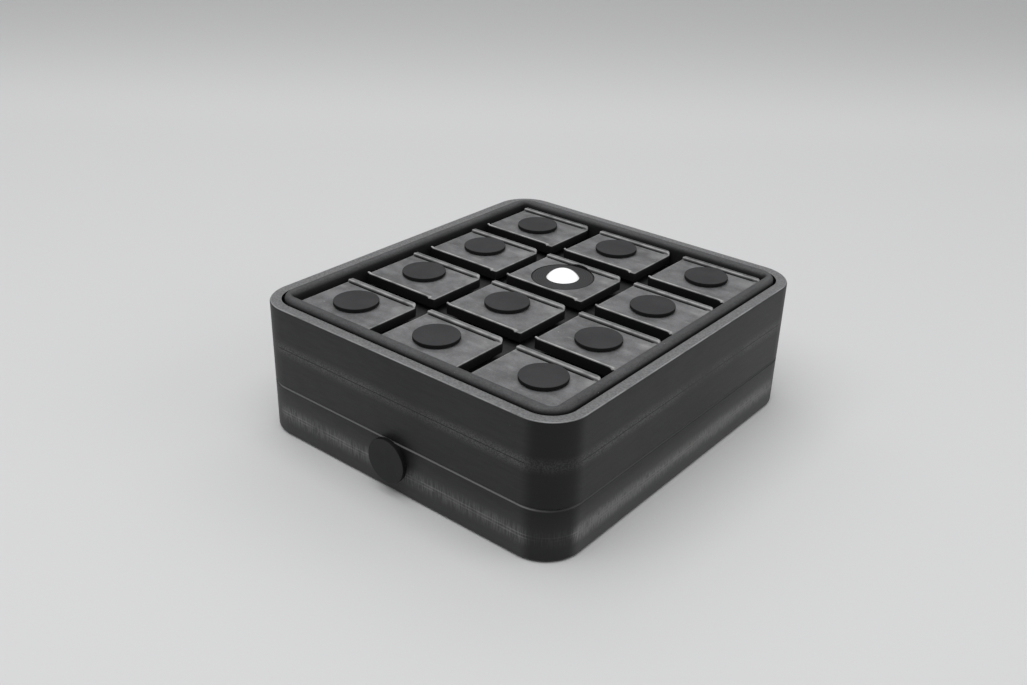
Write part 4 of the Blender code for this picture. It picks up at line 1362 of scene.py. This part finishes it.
@dataclass
class Keys:
    """The twelve keys: plates with two beads, stems, discs, spring pockets, the ball's ring and cup, and the
    ball.
    """

    finishes: Finishes
    ball_tag: str = "r3c2"
    top: float = 47.0 * MM
    bottom: float = 43.6 * MM
    spring_room: float = 0.25 * MM
    cup_wall: float = 1.3 * MM
    blade_width: float = 4.0 * MM
    blade_thick: float = 2.0 * MM
    columns: int = 72
    near_rows: tuple[float, ...] = (
        0.0, 0.05, 0.13, 0.24, 0.38, 0.55, 0.75, 1.0, 1.3, 1.6, 2.0, 2.6, 3.6, 5.2,
    )
    far_rows: tuple[float, ...] = (
        5.2, 4.4, 3.8, 3.4, 3.15, 2.98, 2.86, 2.76, 2.66, 2.56, 2.46, 2.36, 2.24, 2.08, 1.85, 1.55,
        1.2, 0.9, 0.65, 0.45, 0.28, 0.15, 0.05, 0.0,
    )

    def plate(self, draft: Draft, tag: str) -> None:
        """Draw a key's plate round a stem at the origin: a shaped top, straight sides and a flat underside.

        Args:
            draft: the mesh to add to.
            tag: the key's tag.
        """
        low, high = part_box(f"key_tile_{tag}")
        top = PlateTop(high.x - low.x, high.y - low.y)
        shift = middle_of(f"key_tile_{tag}") - self.axis_of(tag)
        near = [-top.depth / 2 + gap * MM for gap in self.near_rows]
        far = [top.depth / 2 - gap * MM for gap in self.far_rows]
        middle = [near[-1] + (far[0] - near[-1]) * i / 9 for i in range(1, 9)]
        rows = near + middle + far
        grid = []
        for y in rows:
            left, right = top.side_at(y, -1), top.side_at(y, 1)
            line = []
            for i in range(self.columns + 1):
                share = i / self.columns
                eased = share - math.sin(math.tau * share) / math.tau * 0.82
                x = left + (right - left) * eased
                line.append((x, y, self.top + top.height_at(x, y)))
            numbers = draft.loop((x + shift.x, y + shift.y, z) for x, y, z in line)
            grid.append(numbers)
            draft.wear |= {n: top.highlight_and_shade_at(x, y) for n, (x, y, _) in zip(numbers, line)}
        for first, second in zip(grid, grid[1:]):
            draft.bridge(first, second, closed=False)
        rim = grid[0] + [row[-1] for row in grid[1:-1]] + grid[-1][::-1] + [row[0] for row in grid[-2:0:-1]]
        foot = draft.loop((draft.points[i][0], draft.points[i][1], self.bottom) for i in rim)
        draft.bridge(rim, foot)
        draft.face(reversed(foot))

    def stem(self, draft: Draft, low: float) -> None:
        """Draw a plain key's snap stem about the origin.

        Args:
            draft: the mesh to add to.
            low: the height of its lower end.
        """
        deck_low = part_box("deck_plate")[0].z
        plate_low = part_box("lock_plate")[0].z
        barb = deck_low - 0.3 * MM
        head = plate_low - 0.4 * MM
        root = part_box("key_spring_r1c1")[1].z + 0.4 * MM
        profile = [
            (0.0, root), (2.8 * MM, root), (2.8 * MM, barb), (3.55 * MM, barb),
            (3.6 * MM, barb - 0.3 * MM), (1.9 * MM, barb - 2.0 * MM), (1.9 * MM, head), (2.4 * MM, head),
            (2.6 * MM, head - 0.2 * MM), (2.6 * MM, low + 0.5 * MM), (2.1 * MM, low), (0.0, low),
        ]
        draft.turn(profile, 24)

    def axis_of(self, tag: str) -> Vector:
        """Where a key's axis, which is its spring's, meets the ground."""
        return middle_of(f"key_spring_{tag}").to_2d().to_3d()

    def plain(self) -> bpy.types.Mesh:
        """Make the plate and stem that eleven keys share.

        Returns:
            The mesh, about the origin.
        """
        plate, stem = Draft(), Draft()
        self.plate(plate, "r1c1")
        self.stem(stem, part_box("key_tile_r1c1")[0].z)
        return joined(cut_from(plate.mesh("key_plate"), [self.pocket("r1c1")]), stem.mesh("key_stem"))

    def ball_key(self) -> bpy.types.Mesh:
        """Make the key that has a cup for the ball and a slanted blade below.

        Returns:
            The mesh, about the origin.
        """
        ring_low, ring_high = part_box("socket_ring")
        ball_low, ball_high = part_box("ball")
        seat = (ring_high.x - ring_low.x) / 2 + 0.25 * MM
        centre = (ball_high.z + ball_low.z) / 2
        bowl = (ball_high.x - ball_low.x) / 2 + 0.4 * MM
        cup = bowl + self.cup_wall
        floor = ring_low.z - 0.3 * MM
        over, under = self.top + 3 * MM, self.bottom - MM
        plate, hole, below = Draft(), Draft(), Draft()
        self.plate(plate, self.ball_tag)
        hole.turn([(0.0, over), (seat, over), (seat, floor), (bowl, floor), (bowl, under), (0.0, under)], 96)
        tools = [hole.mesh("cup_hole"), self.pocket(self.ball_tag)]
        foot, rim = centre - cup, floor - 0.2 * MM
        outline = [(0.0, centre - bowl)] + arc(0.0, centre, bowl, -90, 0, 14)[1:]
        outline += [(bowl, rim), (cup, rim), (cup, foot + 0.8 * MM), (cup - 0.8 * MM, foot), (0.0, foot)]
        below.turn(outline, 64)
        blade_top, blade_low = foot + MM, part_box(f"key_tile_{self.ball_tag}")[0].z
        size = (self.blade_width, self.blade_thick, blade_top - blade_low, 1)
        blade = bmesh.new()
        place = Matrix.Translation((0, 0, (blade_top + blade_low) / 2)) @ Matrix.Diagonal(size)
        bmesh.ops.create_cube(blade, size=1.0, matrix=place)
        for vertex in blade.verts:
            vertex.co.y -= vertex.co.z - middle_of("lock_plate").z
        below.take(blade)
        return joined(cut_from(plate.mesh("ball_key_plate"), tools), below.mesh("cup"))

    def pocket(self, tag: str) -> bpy.types.Mesh:
        """Make the solid that a key's spring pocket is cut with.

        Args:
            tag: the key's tag.

        Returns:
            The mesh, about the origin.
        """
        low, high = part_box(f"key_spring_{tag}")
        reach, top = (high.x - low.x) / 2 + self.spring_room, high.z + 0.05 * MM
        draft = Draft()
        draft.turn([(0.0, self.bottom - MM), (reach, self.bottom - MM), (reach, top), (0.0, top)], 64)
        return draft.mesh("spring_pocket")

    def disc(self) -> bpy.types.Mesh:
        """Make a button disc, very slightly dished.

        Returns:
            The mesh, on the origin.
        """
        low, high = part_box("button_disc_r1c1")
        dish = [(0.9, 0.015 * MM), (0.5, 0.05 * MM), (0.0, 0.06 * MM)]
        return coin("button_disc", (high.x - low.x) / 2, high.z - low.z, 0.22 * MM, dish)

    def build(self) -> None:
        """Make all twelve keys with what they carry."""
        plate, disc = self.plain(), self.disc()
        for tag in key_tags():
            body, is_plain = f"key_{tag}", tag != self.ball_tag
            mesh = plate.copy() if is_plain else self.ball_key()
            mesh.transform(Matrix.Translation(self.axis_of(tag)))
            place_piece(f"key_plate_{tag}", mesh, (self.finishes.key,), body, [f"key_tile_{tag}"])
            if is_plain:
                node = f"button_disc_{tag}"
                at, top = middle_of(node), disc.copy()
                top.transform(Matrix.Translation((at.x, at.y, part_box(node)[0].z)))
                place_piece(f"key_disc_{tag}", top, (self.finishes.disc,), body, [node])
        self.ring()
        self.ball()

    def ring(self) -> None:
        """The ring that holds the ball down; its hole follows the ball."""
        low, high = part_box("socket_ring")
        ball_low, ball_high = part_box("ball")
        x, y, _ = middle_of("socket_ring")
        radius, ease = (high.x - low.x) / 2, 0.18 * MM
        reach = (ball_high.x - ball_low.x) / 2 + 0.18 * MM
        centre = (ball_high.z + ball_low.z) / 2
        heights = (low.z + (high.z - low.z) * i / 6 for i in range(7))
        profile = [(math.sqrt(reach**2 - (z - centre) ** 2), z) for z in heights]
        profile += [(radius - ease, high.z), (radius, high.z - ease), (radius, low.z)]
        draft = Draft()
        draft.turn(profile, 128, (x, y, 0.0))
        finish = RingPlastic("ring_turned", "disc_black", (0.041, 0.041, 0.0425), 0.72, (x, y))
        place_piece("ball_ring", draft.mesh("ball_ring"), (finish,), f"key_{self.ball_tag}", ["socket_ring"])

    def ball(self) -> None:
        """The ball, as an even net of four-sided faces drawn out to a sphere."""
        low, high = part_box("ball")
        centre, radius = (low + high) / 2, (high.z - low.z) / 2
        bm = bmesh.new()
        bmesh.ops.create_cube(bm, size=2.0)
        bmesh.ops.subdivide_edges(bm, edges=bm.edges[:], cuts=23, use_grid_fill=True)
        for vertex in bm.verts:
            vertex.co = Vector(math.tan(c * math.pi / 4) for c in vertex.co).normalized() * radius + centre
        draft = Draft()
        draft.take(bm)
        place_piece("ball_white", draft.mesh("ball_white"), (self.finishes.ball,), "ball", ["ball"])


# ---------------------------------------------------------------- repeated pieces


class Recipe:
    """A Geometry Nodes tree with named number inputs.

    Args:
        name: the tree's name.
        sizes: its inputs and their values.
    """

    def __init__(self, name: str, sizes: dict[str, float]) -> None:
        """Start the tree and its inputs."""
        self.sizes = sizes
        self.tree = bpy.data.node_groups.new(name, "GeometryNodeTree")
        self.sockets = {}
        for key in sizes:
            item = self.tree.interface.new_socket(key, in_out="INPUT", socket_type="NodeSocketFloat")
            self.sockets[key] = item.identifier
        self.tree.interface.new_socket("Geometry", in_out="OUTPUT", socket_type="NodeSocketGeometry")
        self.start = self.tree.nodes.new("NodeGroupInput")

    def size(self, key: str) -> bpy.types.NodeSocket:
        """The socket that gives one of the sizes."""
        return self.start.outputs[key]

    def add(self, kind: str, settings: dict, inputs: dict, output: object = 0) -> bpy.types.NodeSocket:
        """Add a node and take the output with a given name or number."""
        return add_node(self.tree, kind, settings, inputs).outputs[output]

    def mesh(self, shape: bpy.types.NodeSocket, finish: Finish) -> bpy.types.Mesh:
        """Close the tree and run it once.

        Args:
            shape: the geometry to give.
            finish: the finish it takes.

        Returns:
            A plain mesh.
        """
        real = self.add("GeometryNodeRealizeInstances", {}, {"Geometry": shape})
        dressed = self.add("GeometryNodeSetMaterial", {}, {"Geometry": real, "Material": finish.material()})
        end = self.tree.nodes.new("NodeGroupOutput")
        self.tree.links.new(dressed, end.inputs[0])
        holder = bpy.data.objects.new(self.tree.name, bpy.data.meshes.new(self.tree.name))
        bpy.context.scene.collection.objects.link(holder)
        step = holder.modifiers.new("recipe", "NODES")
        step.node_group = self.tree
        for key, value in self.sizes.items():
            step[self.sockets[key]] = value
        bpy.context.view_layer.update()
        made = bpy.data.meshes.new_from_object(holder.evaluated_get(bpy.context.evaluated_depsgraph_get()))
        holder.modifiers.clear()
        bpy.data.objects.remove(holder, do_unlink=True)
        made.shade_smooth()
        made.set_sharp_from_angle(angle=SHARP_ANGLE)
        return made


@dataclass
class Springs:
    """The coil spring under each key."""

    finishes: Finishes
    wire: float = 0.6 * MM
    turns: float = 3.0
    travel: float = 2.0 * MM

    def coil(self, node: str) -> bpy.types.Mesh:
        """A coil in the place of a node.

        Args:
            node: the spring's node in the frame.

        Returns:
            Its mesh, in place.
        """
        low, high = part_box(node)
        sizes = {"Mean radius": (high.x - low.x - self.wire) / 2, "Wire radius": self.wire / 2}
        sizes |= {"Height": high.z - low.z - self.wire, "Rotations": self.turns}
        recipe = Recipe(f"coil_{node}", sizes)
        turned = {key: recipe.size(key) for key in ("Height", "Rotations")}
        turned |= {key: recipe.size("Mean radius") for key in ("Start Radius", "End Radius")}
        spiral = recipe.add("GeometryNodeCurveSpiral", {}, {"Resolution": 36} | turned)
        round_wire = {"Resolution": 10, "Radius": recipe.size("Wire radius")}
        wire = recipe.add("GeometryNodeCurvePrimitiveCircle", {"mode": "RADIUS"}, round_wire)
        sweep = {"Curve": spiral, "Profile Curve": wire, "Fill Caps": True}
        made = recipe.mesh(recipe.add("GeometryNodeCurveToMesh", {}, sweep), self.finishes.spring)
        at = middle_of(node)
        made.transform(Matrix.Translation((at.x, at.y, low.z + self.wire / 2)))
        return made

    def build(self) -> None:
        """Make each spring and let it ride on the lid, with a mesh of its own."""
        for tag in key_tags():
            node = f"key_spring_{tag}"
            piece = place_piece(f"spring_{tag}", self.coil(node), (self.finishes.spring,), "lid", [node])
            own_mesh(piece)


@dataclass
class Screws:
    """Countersunk screws: four under the keys, and four in the cover below."""

    finishes: Finishes
    head: float = 2.6 * MM
    shank: float = 1.3 * MM
    head_height: float = 1.3 * MM
    length: float = 8.5 * MM
    tip: float = 0.8 * MM
    turns: int = 9
    thread_depth: float = 0.2 * MM

    def pattern(self) -> bpy.types.Object:
        """Make one screw, with a round recess in its head and ridges for its thread.

        Returns:
            The screw, head up, with the top of its head on the origin.
        """
        shank, head, ease = self.shank, self.head, 0.1 * MM
        profile = [
            (0.0, -0.9 * MM), (0.55 * MM, -0.8 * MM), (0.85 * MM, -ease), (0.95 * MM, 0.0),
            (head - ease, 0.0), (head, -ease), (shank, -self.head_height),
        ]
        run = (self.length - self.head_height - self.tip) / self.turns
        for i in range(self.turns):
            start = -self.head_height - i * run
            for radius, share in ((shank, 0.25), (shank - self.thread_depth, 0.6), (shank, 0.95)):
                profile.append((radius, start - run * share))
        profile += [(shank * 0.6, -self.length), (0.0, -self.length)]
        draft = Draft()
        draft.turn(profile, 24)
        made = bpy.data.objects.new("screw_pattern", draft.mesh("screw_pattern"))
        bpy.context.scene.collection.objects.link(made)
        return made

    def build(self) -> None:
        """Set four screws on each plate's corners."""
        pattern = self.pattern()
        for stem, flip in (("deck_screw", 0.0), ("cover_screw", math.pi)):
            nodes = [f"{stem}_{i}" for i in range(1, 5)]
            places = [middle_of(node) for node in nodes]
            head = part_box(nodes[0])[0 if flip else 1].z
            reach_x, reach_y = max(p.x for p in places), max(p.y for p in places)
            recipe = Recipe(f"{stem}_set", {"Spacing X": 2 * reach_x, "Spacing Y": 2 * reach_y, "Flip": flip})
            grid = {"Size X": recipe.size("Spacing X"), "Size Y": recipe.size("Spacing Y")}
            grid |= {"Vertices X": 2, "Vertices Y": 2}
            corners = recipe.add("GeometryNodeMeshGrid", {}, grid, "Mesh")
            info = recipe.add("GeometryNodeObjectInfo", {}, {"Object": pattern}, "Geometry")
            spin = recipe.add("FunctionNodeRandomValue", {"data_type": "FLOAT"}, {"Seed": 7}, 1)
            turn = recipe.add("ShaderNodeCombineXYZ", {}, {"X": recipe.size("Flip"), "Z": spin})
            inputs = {"Points": corners, "Instance": info, "Rotation": turn}
            placed = recipe.add("GeometryNodeInstanceOnPoints", {}, inputs)
            mesh = recipe.mesh(placed, self.finishes.steel)
            mesh.transform(Matrix.Translation((0, 0, head)))
            place_piece(f"{stem}s", mesh, (self.finishes.steel,), "lid", nodes)
        bpy.data.objects.remove(pattern, do_unlink=True)


@dataclass
class Knob:
    """The turning knob on the front."""

    finishes: Finishes

    def build(self) -> None:
        """A finer disc for the knob; the metal behind it keeps its own shape."""
        low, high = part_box("knob_disc")
        dish = [(0.5, 0.04 * MM), (0.0, 0.05 * MM)]
        mesh = coin("turning_knob", (high.x - low.x) / 2, high.y - low.y, 0.25 * MM, dish)
        at = middle_of("knob_disc")
        laid(mesh, (at.x, high.y, at.z), -1)
        place_piece("turning_knob", mesh, (self.finishes.knob,), "knob", ["knob_disc"])


def dress_frame_nodes(finishes: Finishes) -> None:
    """Give the frame's own nodes that stay in view their finishes.

    Args:
        finishes: the box's finishes.
    """
    plastic = ("deck_plate", "bottom_cover")
    metal = ("lock_plate", "hinge_pin", "knob_shaft", "hook_cam", "cam_screw")
    for nodes, finish in ((plastic, finishes.inside), (metal, finishes.steel)):
        for node in nodes:
            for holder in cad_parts[node].material_slots:
                holder.material = finish.material()
            LOG.info("%s keeps its shape, in %s", node, finish.name)


# ---------------------------------------------------------------- studio


@dataclass
class Studio:
    """The pale floor that sweeps up behind, the lights and the camera."""

    azimuth: float = 38.762
    elevation: float = 27.062
    roll: float = 1.607
    lens: float = 38.70
    camera_at: Point = (0.21497, -0.27967, 0.20679)
    sweep_start: float = 0.315
    sweep_radius: float = 0.42
    sweep_angle: float = 75.0
    half_width: float = 2.6
    front: float = 2.4
    floor_tone: float = 0.62
    world_strength: float = 0.40
    aim_height: float = 0.02

    def floor(self) -> None:
        """A floor and the curve that rises behind the box, square to the camera, with painted shade towards
        the back.
        """
        draft = Draft()
        stations = [(-self.front + i * 0.25, 0.0) for i in range(9)] + [(0.0, 0.0)]
        radius = self.sweep_radius
        stations += arc(self.sweep_start, radius, radius, -90, -90 + self.sweep_angle, 32)
        rows = [draft.loop((side * self.half_width, *station) for side in (-1, 1)) for station in stations]
        for first, second in zip(rows, rows[1:]):
            draft.face((first[0], first[1], second[1], second[0]))
        mesh = draft.mesh("studio_floor")
        turn = math.radians(self.azimuth)
        mesh.transform(Matrix.Rotation(turn, 4, "Z"))
        made = bpy.data.objects.new("studio_floor", mesh)
        bpy.context.scene.collection.objects.link(made)
        graph = Graph("studio_paper")
        inputs = {0: graph.place, 1: (-math.sin(turn), math.cos(turn), 0.0)}
        along = graph.add("ShaderNodeVectorMath", {"operation": "DOT_PRODUCT"}, inputs, "Value")
        # painted shade: the floor darker towards the back of the sweep, a touch lighter at the front
        near, middle, far = ((self.floor_tone * k,) * 3 for k in (1.03, 1.00, 0.67))
        tone = graph.mix(along.fade(-0.16, 0.26), near, middle)
        graph.set(base_color=graph.mix(along.fade(0.36, 0.56), tone, far), roughness=0.95)
        mesh.materials.append(graph.material)

    def outward(self, azimuth: float, elevation: float) -> Vector:
        """The way from the box to a bearing and a height, both in degrees."""
        a, e = math.radians(azimuth), math.radians(elevation)
        return Vector((math.sin(a) * math.cos(e), -math.cos(a) * math.cos(e), math.sin(e)))

    def panel(
        self, name: str, azimuth: float, elevation: float, distance: float, size: tuple[float, float],
        power: float,
    ) -> None:
        """A soft rectangular light that faces the box.

        Args:
            name: the light's name.
            azimuth: its bearing from the camera's own, in degrees, anticlockwise from above.
            elevation: its height over the horizon, in degrees.
            distance: how far it is from the box.
            size: its width and height.
            power: its power in watts.
        """
        way = self.outward(self.azimuth + azimuth, elevation)
        light = bpy.data.lights.new(name, "AREA")
        light.shape = "RECTANGLE"
        light.size, light.size_y = size
        light.energy = power
        made = bpy.data.objects.new(name, light)
        made.location = way * distance + Vector((0, 0, self.aim_height))
        made.rotation_mode = "QUATERNION"
        made.rotation_quaternion = (-way).to_track_quat("-Z", "Y")
        bpy.context.scene.collection.objects.link(made)

    def lights(self) -> None:
        """Soft light from above and behind, a weaker one from the right."""
        self.panel("top_light", -35.0, 74.0, 1.25, (1.5, 1.4), 13.5)
        self.panel("back_light", 180.0, 46.0, 1.5, (2.0, 0.7), 3.6)
        self.panel("right_light", 75.0, 30.0, 1.4, (0.9, 0.7), 2.6)
        world = bpy.data.worlds.new("studio_air")
        world.use_nodes = True
        air = world.node_tree.nodes["Background"]
        air.inputs["Color"].default_value = (0.86, 0.87, 0.89, 1.0)
        air.inputs["Strength"].default_value = self.world_strength
        bpy.context.scene.world = world

    def camera(self) -> None:
        """The camera, looking down at the box from the front right."""
        a, r = math.radians(self.azimuth), math.radians(self.roll)
        away = self.outward(self.azimuth, self.elevation)
        level = Vector((math.cos(a), math.sin(a), 0.0))
        rise = away.cross(level)
        right = level * math.cos(r) + rise * math.sin(r)
        up = rise * math.cos(r) - level * math.sin(r)
        data = bpy.data.cameras.new("camera")
        data.lens = self.lens
        data.sensor_width = 36.0
        data.clip_start = 0.01
        data.clip_end = 20.0
        made = bpy.data.objects.new("camera", data)
        turned = Matrix((right, up, away)).transposed().to_4x4()
        made.matrix_world = Matrix.Translation(self.camera_at) @ turned
        bpy.context.scene.collection.objects.link(made)
        bpy.context.scene.camera = made

    def build(self) -> None:
        """Set up everything round the box."""
        self.floor()
        self.lights()
        self.camera()
        bpy.context.scene.view_settings.view_transform = "Standard"


def main() -> None:
    """Build the looks in order."""
    logging.basicConfig(level=logging.INFO, format="%(message)s")
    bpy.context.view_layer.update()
    finishes = Finishes()
    shells = Shells(finishes)
    steps: list[Callable[[], None]] = [
        shells.tray,
        shells.lid,
        Bezel(finishes).build,
        Keys(finishes).build,
        Springs(finishes).build,
        Screws(finishes).build,
        Knob(finishes).build,
        Studio().build,
    ]
    for step in steps:
        step()
    dress_frame_nodes(finishes)


if __name__ == "__main__":
    main()
